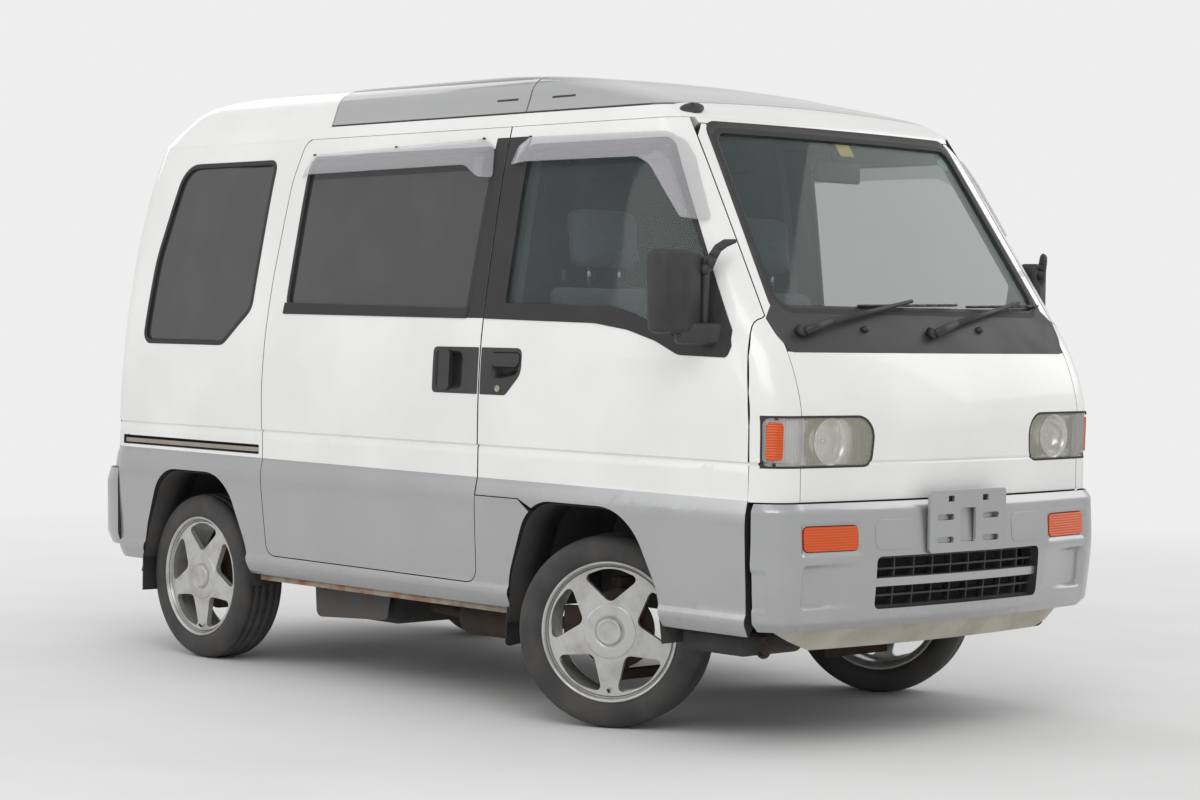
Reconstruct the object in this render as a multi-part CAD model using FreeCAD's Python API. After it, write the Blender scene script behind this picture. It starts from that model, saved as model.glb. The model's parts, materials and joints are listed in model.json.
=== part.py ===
"""A small one-box van of the kei class: body, doors, glass, seats, running gear and lamps.

Millimetres, +Z up. The van stands on z = 0 with its middle over the origin. Its nose points along -Y
and its right side along -X. The front wheels rest steered to the left.
"""

import FreeCAD, Part
import math
import os

V = FreeCAD.Vector
X_AXIS = V(1, 0, 0)
Z_AXIS = V(0, 0, 1)

# Overall layout
LENGTH = 3295.0
WHEELBASE = 1885.0
FRONT_AXLE_Y = -863.0
REAR_AXLE_Y = FRONT_AXLE_Y + WHEELBASE

# Tyres and rims
TYRE_RADIUS = 266.0
TYRE_WIDTH = 165.0
TYRE_BEAD_RADIUS = 182.0
TYRE_SHOULDER = 22.0
TYRE_BULGE_HEIGHT = 26.0
TYRE_BULGE = 4.0
RIM_FLANGE_RADIUS = 194.0
RIM_WIDTH = 150.0
RIM_WALL = 6.0
RIM_FLANGE_THICKNESS = 7.0
RIM_FACE_DEPTH = 16.0
SPOKES = 5
SPOKE_THICKNESS = 22.0
SPOKE_WINDOW_INNER = 76.0
SPOKE_WINDOW_OUTER = 154.0
SPOKE_WINDOW_HALF = 62.0
SPOKE_WINDOW_BOW = 12.0
HUB_OUTER_RADIUS = 62.0
HUB_LENGTH = 64.0
HUB_PROUD = 8.0
HUB_CAP = 16.0
HUB_BORE_RADIUS = 29.0
HUB_FIT = 0.05
SPINDLE_END_GAP = 1.0

# Steering and suspension
WHEEL_CENTRE_X = 578.0
KINGPIN_X = 548.0
KINGPIN_RADIUS = 14.0
KINGPIN_FIT = 0.05
KINGPIN_END = 5.0
STEER_AT_REST = 30.0
SLEEVE_WALL = 14.0
SLEEVE_GAP = 3.0
BRAKE_RADIUS = 108.0
BRAKE_THICKNESS = 12.0
CALIPER_Y = (68.0, 150.0)
CALIPER_Z = (-20.0, 60.0)
CALIPER_OUTER = 4.0
CALIPER_INNER = 14.0
SPINDLE_PAST_KINGPIN = 6.0
FORK_REACH = 116.0
FORK_ARM = 26.0
FORK_HALF_WIDTH = 18.0
FORK_PAST_KINGPIN = 15.0
STRUT_RADIUS = 26.0
STRUT_X = 422.0
CROSS_MEMBER_HALF = 300.0
CROSS_MEMBER_DEPTH = 90.0
CROSS_MEMBER_Z = (290.0, 380.0)
ARM_OVERLAP = 20.0
ARM_POST_WIDTH = 30.0
REAR_BEAM_RADIUS = 36.0
REAR_BEAM_ROOM = 8.0
REAR_DRUM_WIDTH = 48.0
SPRING_RADIUS = 36.0
SPRING_X = 385.0
LINK_X = (250.0, 300.0)
LINK_LENGTH = 400.0
LINK_HALF_HEIGHT = 20.0
LINK_POST_LENGTH = 50.0

# Body sheet thicknesses and gaps
WALL = 60.0
ROOF_WALL = 30.0
GLASS_SET_IN = 8.0
GLASS_THICKNESS = 5.0
BUMPER_WALL = 45.0
DOOR_GAP = 5.0
HINGE_GAP = 10.0
REST_GAP = 0.3

# Heights
SILL_Z = 300.0
FLOOR_TOP_Z = 520.0
FLOOR_THICKNESS = 40.0
FLOOR_UNDER_Z = FLOOR_TOP_Z - FLOOR_THICKNESS
ARCH_TOP_Z = 612.0
BUMPER_TOP_Z = 655.0
COWL_TOP_Z = 1132.0
PILLAR_FOOT_Z = 1130.0
SCREEN_TOP_Z = 1655.0
ROOF_EDGE_Z = 1677.0
DOOR_TOP_Z = ROOF_EDGE_Z - 4.0

# Seams along the van
B_SEAM_Y = -412.0
HINGE_SEAM_Y = -1480.0
REAR_BUMPER_SEAM_Y = 1440.0
REAR_BUMPER_TOP_Z = 602.0
FRONT_PANEL_HALF = 580.0
TAILGATE_HALF = 565.0
TAILGATE_TOP_HALF = 505.0
TAILGATE_TOP_Z = 1644.0
STEP_PANEL_FRONT_Y = -700.0
SIDE_INNER_X = 400.0

# Horizontal slices through the body
# Columns: height, half width, front face, rear face, front corner radius, rear corner radius, front and rear crown
BODY_SLICES = (
    (300.0, 672.0, -1500.0, 1560.0, 100.0, 170.0, 30.0, 25.0),
    (430.0, 691.0, -1500.0, 1565.0, 100.0, 170.0, 30.0, 25.0),
    (520.0, 697.5, -1500.0, 1570.0, 100.0, 170.0, 30.0, 25.0),
    (640.0, 697.5, -1500.0, 1572.0, 100.0, 175.0, 30.0, 28.0),
    (655.0, 693.0, -1500.0, 1572.0, 100.0, 175.0, 30.0, 28.0),
    (664.0, 691.0, -1563.0, 1571.0, 110.0, 180.0, 37.0, 30.0),
    (756.0, 692.0, -1563.0, 1568.0, 110.0, 180.0, 37.0, 30.0),
    (900.0, 691.0, -1561.0, 1558.0, 110.0, 180.0, 37.0, 30.0),
    (1040.0, 684.0, -1512.0, 1548.0, 105.0, 180.0, 40.0, 30.0),
    (1122.0, 675.0, -1459.0, 1544.0, 96.0, 175.0, 42.0, 30.0),
    (1344.0, 641.0, -1315.0, 1527.0, 80.0, 165.0, 42.0, 30.0),
    (1560.0, 603.0, -1175.0, 1484.0, 70.0, 150.0, 40.0, 28.0),
    (ROOF_EDGE_Z, 575.0, -1099.0, 1440.0, 64.0, 130.0, 38.0, 25.0),
)

# Slices through the roof above its edge, with the same columns
ROOF_SLICES = (
    BODY_SLICES[-1],
    (1700.0, 562.0, -1062.0, 1420.0, 70.0, 130.0, 40.0, 25.0),
    (1715.0, 554.0, -1035.0, 1406.0, 75.0, 130.0, 40.0, 25.0),
    (1750.0, 540.0, -901.0, 1364.0, 110.0, 140.0, 45.0, 30.0),
    (1785.0, 526.0, -735.0, 1311.0, 140.0, 150.0, 45.0, 35.0),
    (1812.0, 497.0, -600.0, 1221.0, 160.0, 160.0, 50.0, 40.0),
    (1832.0, 435.0, -410.0, 1066.0, 170.0, 170.0, 50.0, 50.0),
    (1845.0, 328.0, -180.0, 850.0, 150.0, 150.0, 40.0, 40.0),
    (1852.0, 180.0, 0.0, 600.0, 100.0, 100.0, 20.0, 20.0),
)

# Slices through the bumpers and the valance, with the same columns
FRONT_BUMPER_SLICES = (
    (322.0, 672.0, -1562.0, 0.0, 110.0, 100.0, 42.0, 0.0),
    (345.0, 688.0, -1580.0, 0.0, 110.0, 100.0, 45.0, 0.0),
    (500.0, 697.0, -1590.0, 0.0, 110.0, 100.0, 46.0, 0.0),
    (635.0, 697.0, -1585.0, 0.0, 110.0, 100.0, 44.0, 0.0),
    (BUMPER_TOP_Z, 692.0, -1570.0, 0.0, 110.0, 100.0, 42.0, 0.0),
)
REAR_BUMPER_SLICES = (
    (342.0, 680.0, 0.0, 1612.0, 100.0, 170.0, 0.0, 16.0),
    (380.0, 694.0, 0.0, 1627.0, 100.0, 175.0, 0.0, 20.0),
    (560.0, 697.0, 0.0, 1627.0, 100.0, 175.0, 0.0, 20.5),
    (600.0, 694.0, 0.0, 1606.0, 100.0, 170.0, 0.0, 18.0),
)
VALANCE_SLICES = (
    (262.0, 585.0, -1500.0, 0.0, 110.0, 100.0, 34.0, 0.0),
    (322.0, 600.0, -1545.0, 0.0, 110.0, 100.0, 38.0, 0.0),
)
VALANCE_WALL = 12.0
VALANCE_REAR_Y = -1320.0

# Side outlines. Columns: place along the van, height, corner radius
FRONT_ARCH = (
    (-545.0, 200.0, 0.0),
    (-556.0, 400.0, 200.0),
    (-640.0, ARCH_TOP_Z, 130.0),
    (-1040.0, ARCH_TOP_Z, 190.0),
    (-1152.0, 400.0, 200.0),
    (-1180.0, 200.0, 0.0),
)
REAR_ARCH = (
    (690.0, 200.0, 0.0),
    (712.0, 380.0, 200.0),
    (826.0, ARCH_TOP_Z, 170.0),
    (1190.0, ARCH_TOP_Z, 130.0),
    (1266.0, 430.0, 200.0),
    (1330.0, 200.0, 0.0),
)
SLIDING_DOOR = (
    (B_SEAM_Y, 362.0, 40.0),
    (604.0, 366.0, 45.0),
    (630.0, 640.0, 300.0),
    (638.0, 900.0, 600.0),
    (626.0, 1240.0, 600.0),
    (600.0, 1540.0, 300.0),
    (566.0, DOOR_TOP_Z, 45.0),
    (B_SEAM_Y, DOOR_TOP_Z, 0.0),
)
FRONT_DOOR = (
    (B_SEAM_Y, DOOR_TOP_Z, 0.0),
    (B_SEAM_Y, ARCH_TOP_Z, 0.0),
    (-606.0, ARCH_TOP_Z, 20.0),
    (-656.0, 560.0, 0.0),
    (-656.0, 306.0, 0.0),
    (HINGE_SEAM_Y, 306.0, 12.0),
    (HINGE_SEAM_Y, 1090.0, 40.0),
    (-1470.0, PILLAR_FOOT_Z, 10.0),
    (-1146.0, 1650.0, 30.0),
    (-1100.0, DOOR_TOP_Z, 10.0),
)
FRONT_DOOR_WINDOW = (
    (-500.0, 1612.0, 30.0),
    (-492.0, 1150.0, 25.0),
    (-950.0, 1143.0, 200.0),
    (-1120.0, 1095.0, 150.0),
    (-1240.0, 1046.0, 80.0),
    (-1398.0, 1046.0, 15.0),
    (-1398.0, 1096.0, 15.0),
    (-1086.0, 1612.0, 60.0),
)
SLIDING_DOOR_WINDOW = (
    (536.0, 1146.0, 30.0),
    (518.0, 1612.0, 35.0),
    (-366.0, 1612.0, 35.0),
    (-342.0, 1134.0, 30.0),
)
QUARTER_WINDOW = (
    (700.0, 1608.0, 30.0),
    (722.0, 1140.0, 60.0),
    (862.0, 1026.0, 60.0),
    (1310.0, 1026.0, 35.0),
    (1290.0, 1300.0, 500.0),
    (1205.0, 1608.0, 90.0),
)
CORNER_PANEL_REAR_Y = HINGE_SEAM_Y - HINGE_GAP
CORNER_SHOULDER_Z = 1086.0
CORNER_TIP_Y = -1475.0

# Front outlines. Columns: place across the van, height, corner radius
SCREEN_OPENING = (
    (-552.0, 1150.0, 50.0),
    (-492.0, 1640.0, 45.0),
    (492.0, 1640.0, 45.0),
    (552.0, 1150.0, 50.0),
)
SCREEN_PILLAR = (
    (-614.0, BUMPER_TOP_Z + 1.0, 0.0),
    (-614.0, 1000.0, 0.0),
    (-534.0, SCREEN_TOP_Z + 30.0, 0.0),
    (0.0, SCREEN_TOP_Z + 30.0, 0.0),
    (0.0, BUMPER_TOP_Z + 1.0, 0.0),
)
TAILGATE = (
    (-TAILGATE_HALF, 612.0, 40.0),
    (-TAILGATE_HALF, 1000.0, 600.0),
    (-TAILGATE_TOP_HALF, TAILGATE_TOP_Z, 60.0),
    (TAILGATE_TOP_HALF, TAILGATE_TOP_Z, 60.0),
    (TAILGATE_HALF, 1000.0, 600.0),
    (TAILGATE_HALF, 612.0, 40.0),
)
TAILGATE_WINDOW = (
    (-500.0, 1040.0, 60.0),
    (-455.0, 1590.0, 60.0),
    (455.0, 1590.0, 60.0),
    (500.0, 1040.0, 60.0),
)
HEADLAMP = (
    (-748.0, 746.0, 0.0),
    (-336.0, 748.0, 26.0),
    (-322.0, 812.0, 60.0),
    (-345.0, 872.0, 26.0),
    (-748.0, 880.0, 0.0),
)
HEADLAMP_REAR_Y = -1508.0
HEADLAMP_SET_IN = 3.0
HEADLAMP_INNER = 50.0
INDICATOR = (
    (-588.0, 529.0, 6.0),
    (-400.0, 529.0, 6.0),
    (-400.0, 597.0, 6.0),
    (-588.0, 597.0, 6.0),
)
INDICATOR_SET_IN = 2.0
INDICATOR_INNER = 40.0
TAIL_LAMP_Z = (690.0, 920.0)
TAIL_LAMP_FRONT_Y = 1470.0
TAIL_LAMP_GAP = 4.0
TAIL_LAMP_DEPTH = 35.0

# Grille: a slab with rows of square openings and one wide bar across the middle
GRILLE_HALF = 340.0
GRILLE_BOTTOM_Z = 372.0
GRILLE_TOP_Z = 511.0
GRILLE_CORNER = 16.0
GRILLE_SET_IN = 22.0
GRILLE_INNER = 40.0
GRILLE_COLUMNS = 18
GRILLE_END_BORDER = 10.0
GRILLE_EDGE_BORDER = 8.0
GRILLE_RIB_HALF = 3.0
GRILLE_BAR_HALF = 10.0
GRILLE_ROW_SPLIT = (30.0, 36.0)

# Number plate bracket
PLATE_HALF = 160.0
PLATE_Z = (512.0, 680.0)
PLATE_CORNER = 10.0
PLATE_DEPTH = 11.0
PLATE_PAST_FACE = 2.0
PLATE_SLOT_HALF = 24.0
PLATE_SLOT_Z = (540.0, 634.0)
PLATE_SLOT_CORNER = 8.0
PLATE_BACK = 4.0
PLATE_HOLE_RADIUS = 3.2
PLATE_HOLE_SPACING = 210.0
PLATE_HOLE_Z = 655.0

# Glass roof
GLASS_ROOF_EDGE_Z = 1712.0
ROOF_GLASS_FRONT_Y = -1026.0
ROOF_GLASS_SPLIT_Y = -445.0
ROOF_GLASS_REAR_Y = 469.0
ROOF_GLASS_SEAM = 6.0
ROOF_GLASS_THICKNESS = 8.0
ROOF_OPENING_HALF = 430.0
ROOF_OPENING_BORDER = 60.0

# Door hinges. The axis stands upright just inside the skin
HINGE_X = 680.0
HINGE_Y = HINGE_SEAM_Y - 2.0
HINGE_PIN_RADIUS = 4.0
HINGE_FIT = 0.05
HINGE_BARREL_RADIUS = 7.5
HINGE_BARREL_LENGTH = 44.0
HINGE_LUG_LENGTH = 16.0
HINGE_LUG_HALF = 5.0
HINGE_LUG_REACH = 20.0
HINGE_END_GAP = 1.0
HINGE_ROOM = 7.0
HINGE_HEIGHTS = (690.0, 836.0)

# Tailgate hinges. Their axis lies across the van, over the top edge of the gate
GATE_HINGE_Y = 1449.0
GATE_HINGE_Z = 1664.0
GATE_HINGE_XS = (-330.0, 330.0)
GATE_PIN_RADIUS = 5.0
GATE_PIN_HALF = 45.0
GATE_BARREL_RADIUS = 9.0
GATE_BARREL_HALF = 25.0
GATE_ARM_DROP = 30.0
GATE_ROOM = (31.0, 16.0, 40.0)
GATE_LUG_THICKNESS = 14.0
GATE_LUG_REACH = 20.0
GATE_LUG_PAST = 4.0
GATE_LUG_DROP = 8.0
GATE_HEADER_SET_IN = 20.0
GATE_HEADER_Z = 1653.0
GATE_FRONT_Y = 1200.0

# Inside of the body
PILLAR_DEPTH = 35.0
PILLAR_HALF_LENGTH = 45.0
SLIDE_ROLLER_X = (610.0, 640.0)
SLIDE_ROLLER_Y = (480.0, 540.0)
SLIDE_ROLLER_HEIGHT = 40.0
HOUSING_INNER_X = 330.0
HOUSING_OUTER_X = 640.0
HOUSING_WALL = 10.0
FLOOR_FRONT_Y = -1420.0
FLOOR_REAR_Y = 1480.0
RAIL_X = (240.0, 300.0)
RAIL_END_Y = 1480.0
SILL_BOX_X = (560.0, 604.0)
SILL_BOX_Y = (-520.0, 640.0)
SILL_BOX_Z = 294.0
MUD_FLAP_X = (520.0, 688.0)
MUD_FLAP_Y = 1294.0
MUD_FLAP_THICKNESS = 5.0
MUD_FLAP_Z = (172.0, 400.0)
ENGINE_HALF = 230.0
ENGINE_Y = (1120.0, 1480.0)
ENGINE_BOTTOM_Z = 235.0

# Seats. Columns: outer edge, inner edge, front edge, rear edge of the cushion, cushion top, back top, head rest
SEATS = (
    (-560.0, -90.0, -960.0, -470.0, 770.0, 1235.0, True),
    (90.0, 560.0, -960.0, -470.0, 770.0, 1235.0, True),
    (-560.0, 560.0, 60.0, 520.0, 800.0, 1250.0, False),
)
CUSHION_THICKNESS = 140.0
BACK_THICKNESS = 110.0
BACK_LEAN = 90.0
BACK_SIDE_INSET = 25.0
BACK_FOOT = 20.0
SEAT_CORNER = 20.0
SEAT_FRONT_CORNER = 60.0
BACK_CORNER = 40.0
HEAD_REST_HALF = 130.0
HEAD_REST_GAP = 30.0
HEAD_REST_TOP = 215.0
HEAD_REST_FOOT = (-95.0, 5.0)
HEAD_REST_TIP = (-70.0, 20.0)
HEAD_REST_CORNERS = (25.0, 40.0)
POST_RADIUS = 7.0
POST_SPACING = 120.0
POST_Y = -48.0
SEAT_BASE_SIDE = 30.0
SEAT_BASE_FRONT = 50.0
SEAT_BASE_REAR = 20.0

# Dashboard. Columns: place along the van, height, corner radius
DASH = (
    (-1500.0, 800.0, 10.0),
    (-1180.0, 800.0, 30.0),
    (-1150.0, 1010.0, 40.0),
    (-1210.0, 1090.0, 30.0),
    (-1462.0, 1060.0, 10.0),
)
PEDESTAL = (
    (-1400.0, FLOOR_TOP_Z, 0.0),
    (-1260.0, FLOOR_TOP_Z, 0.0),
    (-1240.0, 820.0, 0.0),
    (-1400.0, 820.0, 0.0),
)
PEDESTAL_HALF = 90.0

# Steering wheel
WHEEL_TILT = 38.0
STEERING_X = -330.0
STEERING_Y = -1010.0
STEERING_Z = 1040.0
STEERING_RADIUS = 190.0
STEERING_GRIP_RADIUS = 15.0
STEERING_HUB_RADIUS = 42.0
STEERING_HUB_UP = 12.0
STEERING_HUB_DOWN = 45.0
STEERING_SPOKE_RADIUS = 13.0
STEERING_SPOKE_DROP = 15.0
COLUMN_RADIUS = 32.0
COLUMN_REACH = (60.0, 260.0)
SHAFT_RADIUS = 9.95
SHAFT_REACH = (5.0, 100.0)
SHAFT_BORE_RADIUS = 10.0
SHAFT_BORE_REACH = (4.5, 50.0)

# Door mirrors. Columns: place across the van, place along it, corner radius
MIRROR_HEAD = (
    (-850.0, -1236.0, 12.0),
    (-706.0, -1262.0, 12.0),
    (-700.0, -1328.0, 16.0),
    (-770.0, -1334.0, 40.0),
    (-838.0, -1300.0, 16.0),
)
MIRROR_HEAD_Z = (1086.0, 1308.0)
MIRROR_ARM = (
    (-775.0, -1318.0, 6.0),
    (-775.0, -1284.0, 6.0),
    (-640.0, -1340.0, 6.0),
    (-640.0, -1400.0, 6.0),
)
MIRROR_ARM_Z = (1056.0, 1087.0)
MIRROR_FOOT = (
    (-1300.0, 1056.0, 12.0),
    (-1420.0, 1050.0, 12.0),
    (-1408.0, 1100.0, 10.0),
    (-1350.0, 1160.0, 10.0),
)
MIRROR_FOOT_HALF_THICKNESS = 4.0
MIRROR_FOLD = 24.0
MIRROR_FOLD_X = 700.0
MIRROR_FOLD_Y = -1335.0

# Reach of the cutting blocks, past every face of the van
OVER = 2000.0
HULL_X = 900.0


def outline_face(rows, to_vector):
    """A flat face from rows of (a, b, corner radius), each corner rounded by a tangent arc."""
    count = len(rows)
    points = [to_vector(row[0], row[1]) for row in rows]
    starts = []
    ends = []
    edges = []
    arcs = []
    for i in range(count):
        corner = points[i]
        back = points[i - 1] - corner
        ahead = points[(i + 1) % count] - corner
        radius = rows[i][2]
        if radius <= 0:
            starts.append(corner)
            ends.append(corner)
            arcs.append(None)
            continue
        back_unit = V(back).normalize()
        ahead_unit = V(ahead).normalize()
        half_angle = back_unit.getAngle(ahead_unit) / 2
        reach = radius / math.tan(half_angle)
        limit = 0.49 * min(back.Length, ahead.Length)
        reach = min(reach, limit)
        radius = reach * math.tan(half_angle)
        start = corner + back_unit * reach
        end = corner + ahead_unit * reach
        bisector = (back_unit + ahead_unit).normalize()
        middle = corner + bisector * (radius / math.sin(half_angle) - radius)
        starts.append(start)
        ends.append(end)
        arcs.append(Part.Arc(start, middle, end).toShape())
    for i in range(count):
        if arcs[i] is not None:
            edges.append(arcs[i])
        after = (i + 1) % count
        if (starts[after] - ends[i]).Length > 0.001:
            edges.append(Part.makeLine(ends[i], starts[after]))
    return Part.Face(Part.Wire(edges))


def side_face(rows):
    """Rows of (y, z, radius) as a face in the plane x = 0."""
    return outline_face(rows, lambda a, b: V(0, a, b))


def front_face(rows):
    """Rows of (x, z, radius) as a face in the plane y = 0."""
    return outline_face(rows, lambda a, b: V(a, 0, b))


def plan_face(rows):
    """Rows of (x, y, radius) as a face in the plane z = 0."""
    return outline_face(rows, lambda a, b: V(a, b, 0))


def rectangle(a0, a1, b0, b1, radius):
    """Outline rows of an upright rectangle with rounded corners."""
    return ((a0, b0, radius), (a1, b0, radius), (a1, b1, radius), (a0, b1, radius))


def across(face, x_from, x_to):
    """A side outline made solid between two places across the van."""
    moved = face.copy()
    moved.translate(V(x_from, 0, 0))
    return moved.extrude(V(x_to - x_from, 0, 0))


def along(face, y_from, y_to):
    """A front outline made solid between two places along the van."""
    moved = face.copy()
    moved.translate(V(0, y_from, 0))
    return moved.extrude(V(0, y_to - y_from, 0))


def upright(face, z_from, z_to):
    """A plan outline made solid between two heights."""
    moved = face.copy()
    moved.translate(V(0, 0, z_from))
    return moved.extrude(V(0, 0, z_to - z_from))


def box(x0, x1, y0, y1, z0, z1):
    """A box between two corners."""
    return Part.makeBox(x1 - x0, y1 - y0, z1 - z0, V(x0, y0, z0))


def cylinder(radius, start, end):
    """A round bar from one point to another."""
    start = V(*start)
    direction = V(*end) - start
    return Part.makeCylinder(radius, direction.Length, start, direction)


def disc_about_x(radius, x_from, x_to):
    """A round disc about the X axis."""
    return Part.makeCylinder(radius, x_to - x_from, V(x_from, 0, 0), X_AXIS)


def mirrored(shape):
    """The same piece on the other side of the van."""
    return shape.mirror(V(0, 0, 0), X_AXIS)


def pair(shape):
    """A piece and its mirror image, as two solids."""
    return Part.makeCompound([shape, mirrored(shape)])


def fused(shapes):
    """Several touching solids as one."""
    return shapes[0].multiFuse(list(shapes[1:])).removeSplitter()


def biggest(shape):
    """The largest solid of a cut, without its slivers."""
    return max(shape.Solids, key=lambda solid: solid.Volume)


def slice_wire(row, inset):
    """One horizontal slice of a hull: crowned ends, straight sides and round corners."""
    z, half, front, rear, front_radius, rear_radius, front_crown, rear_crown = row
    half -= inset
    front += inset
    rear -= inset
    front_radius = max(front_radius - inset, 12.0)
    rear_radius = max(rear_radius - inset, 12.0)
    fx = half - front_radius
    rx = half - rear_radius
    fy = front + front_radius
    ry = rear - rear_radius
    diagonal = math.sqrt(0.5)
    front_edge = Part.makeLine(V(-fx, front, z), V(fx, front, z))
    if front_crown > 0:
        front_edge = Part.Arc(V(-fx, front, z), V(0, front - front_crown, z), V(fx, front, z)).toShape()
    rear_edge = Part.makeLine(V(rx, rear, z), V(-rx, rear, z))
    if rear_crown > 0:
        rear_edge = Part.Arc(V(rx, rear, z), V(0, rear + rear_crown, z), V(-rx, rear, z)).toShape()
    front_bow = front_radius * diagonal
    rear_bow = rear_radius * diagonal
    edges = [
        front_edge,
        Part.Arc(V(fx, front, z), V(fx + front_bow, fy - front_bow, z), V(half, fy, z)).toShape(),
        Part.makeLine(V(half, fy, z), V(half, ry, z)),
        Part.Arc(V(half, ry, z), V(rx + rear_bow, ry + rear_bow, z), V(rx, rear, z)).toShape(),
        rear_edge,
        Part.Arc(V(-rx, rear, z), V(-rx - rear_bow, ry + rear_bow, z), V(-half, ry, z)).toShape(),
        Part.makeLine(V(-half, ry, z), V(-half, fy, z)),
        Part.Arc(V(-half, fy, z), V(-fx - front_bow, fy - front_bow, z), V(-fx, front, z)).toShape(),
    ]
    return Part.Wire(edges)


def hull(slices, inset):
    """A hull through its slices, straight from one to the next, shrunk sideways by an inset."""
    return Part.makeLoft([slice_wire(row, inset) for row in slices], True, True)


def long_hull(inset):
    """The body's cross section drawn out past the nose and the tail, without its end walls."""
    rows = [(z, half, -OVER, OVER, front_radius, rear_radius, 0.0, 0.0)
            for z, half, front, rear, front_radius, rear_radius, front_crown, rear_crown in BODY_SLICES]
    return hull(rows, inset)


def lowered_roof(inset):
    """The roof hull shrunk by an inset, sideways and downwards."""
    shape = hull(ROOF_SLICES, inset)
    shape.translate(V(0, 0, -inset))
    return shape


def shrunk(face, gap):
    """A flat outline drawn in by a gap all round."""
    return face.makeOffset2D(-gap)


def build_front_door(shell, cabin_core, right_arches, glass_shell):
    """The right front door with its hinge barrels, and its window glass."""
    window = across(side_face(FRONT_DOOR_WINDOW), -HULL_X, 0)
    pillar_room = along(front_face(SCREEN_PILLAR).makeOffset2D(DOOR_GAP), -OVER, -HULL_X)
    door = shell.common(across(shrunk(side_face(FRONT_DOOR), DOOR_GAP / 2), -HULL_X, -SIDE_INNER_X))
    door = biggest(door.cut(cabin_core).cut(right_arches).cut(window).cut(pillar_room))
    for z in HINGE_HEIGHTS:
        top = z + HINGE_BARREL_LENGTH
        room_top = top + HINGE_LUG_LENGTH + HINGE_ROOM
        barrel = cylinder(HINGE_BARREL_RADIUS, (-HINGE_X, HINGE_Y, z), (-HINGE_X, HINGE_Y, top))
        bore = cylinder(HINGE_PIN_RADIUS + HINGE_FIT, (-HINGE_X, HINGE_Y, z - HINGE_END_GAP),
                        (-HINGE_X, HINGE_Y, top + HINGE_END_GAP))
        room = cylinder(HINGE_BARREL_RADIUS + HINGE_ROOM, (-HINGE_X, HINGE_Y, top), (-HINGE_X, HINGE_Y, room_top))
        door = door.fuse(barrel).cut(bore).cut(room)
    return door, glass_shell.common(window)


def add_door_lugs(corner):
    """Hinge pins and the lugs that hold them, on the right front corner panel."""
    for z in HINGE_HEIGHTS:
        low = z + HINGE_BARREL_LENGTH + HINGE_END_GAP
        high = low + HINGE_LUG_LENGTH - HINGE_END_GAP
        pin = cylinder(HINGE_PIN_RADIUS, (-HINGE_X, HINGE_Y, z), (-HINGE_X, HINGE_Y, high))
        lug = box(-HINGE_X - HINGE_LUG_HALF, -HINGE_X + HINGE_LUG_HALF,
                  HINGE_Y - HINGE_LUG_REACH, HINGE_Y + HINGE_LUG_HALF, low, high)
        corner = corner.fuse(lug).fuse(pin)
    return corner


def add_gate_barrels(gate):
    """Hinge barrels over the top edge of the tailgate."""
    y = GATE_HINGE_Y
    z = GATE_HINGE_Z
    for x in GATE_HINGE_XS:
        barrel = cylinder(GATE_BARREL_RADIUS, (x - GATE_BARREL_HALF, y, z), (x + GATE_BARREL_HALF, y, z))
        arm = box(x - GATE_BARREL_HALF, x + GATE_BARREL_HALF,
                  y - GATE_BARREL_RADIUS, y + GATE_BARREL_RADIUS, z - GATE_ARM_DROP, z)
        bore = cylinder(GATE_PIN_RADIUS + HINGE_FIT, (x - GATE_PIN_HALF, y, z), (x + GATE_PIN_HALF, y, z))
        gate = gate.fuse([barrel, arm]).cut(bore)
    return gate


def add_gate_lugs(roof):
    """Hinge pins for the tailgate, held by lugs under the rear edge of the roof."""
    y = GATE_HINGE_Y
    z = GATE_HINGE_Z
    room_half, room_reach, room_drop = GATE_ROOM
    for x in GATE_HINGE_XS:
        pin = cylinder(GATE_PIN_RADIUS, (x - GATE_PIN_HALF, y, z), (x + GATE_PIN_HALF, y, z))
        room = box(x - room_half, x + room_half, y - room_reach, y + room_reach, z - room_drop, ROOF_EDGE_Z)
        lugs = [box(side, side + GATE_LUG_THICKNESS, y - GATE_LUG_REACH, y + GATE_LUG_PAST,
                    z - GATE_LUG_DROP, ROOF_EDGE_Z + 1.0) for side in (x - GATE_PIN_HALF, x + room_half)]
        roof = roof.cut(room).fuse(lugs + [pin])
    return roof


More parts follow.
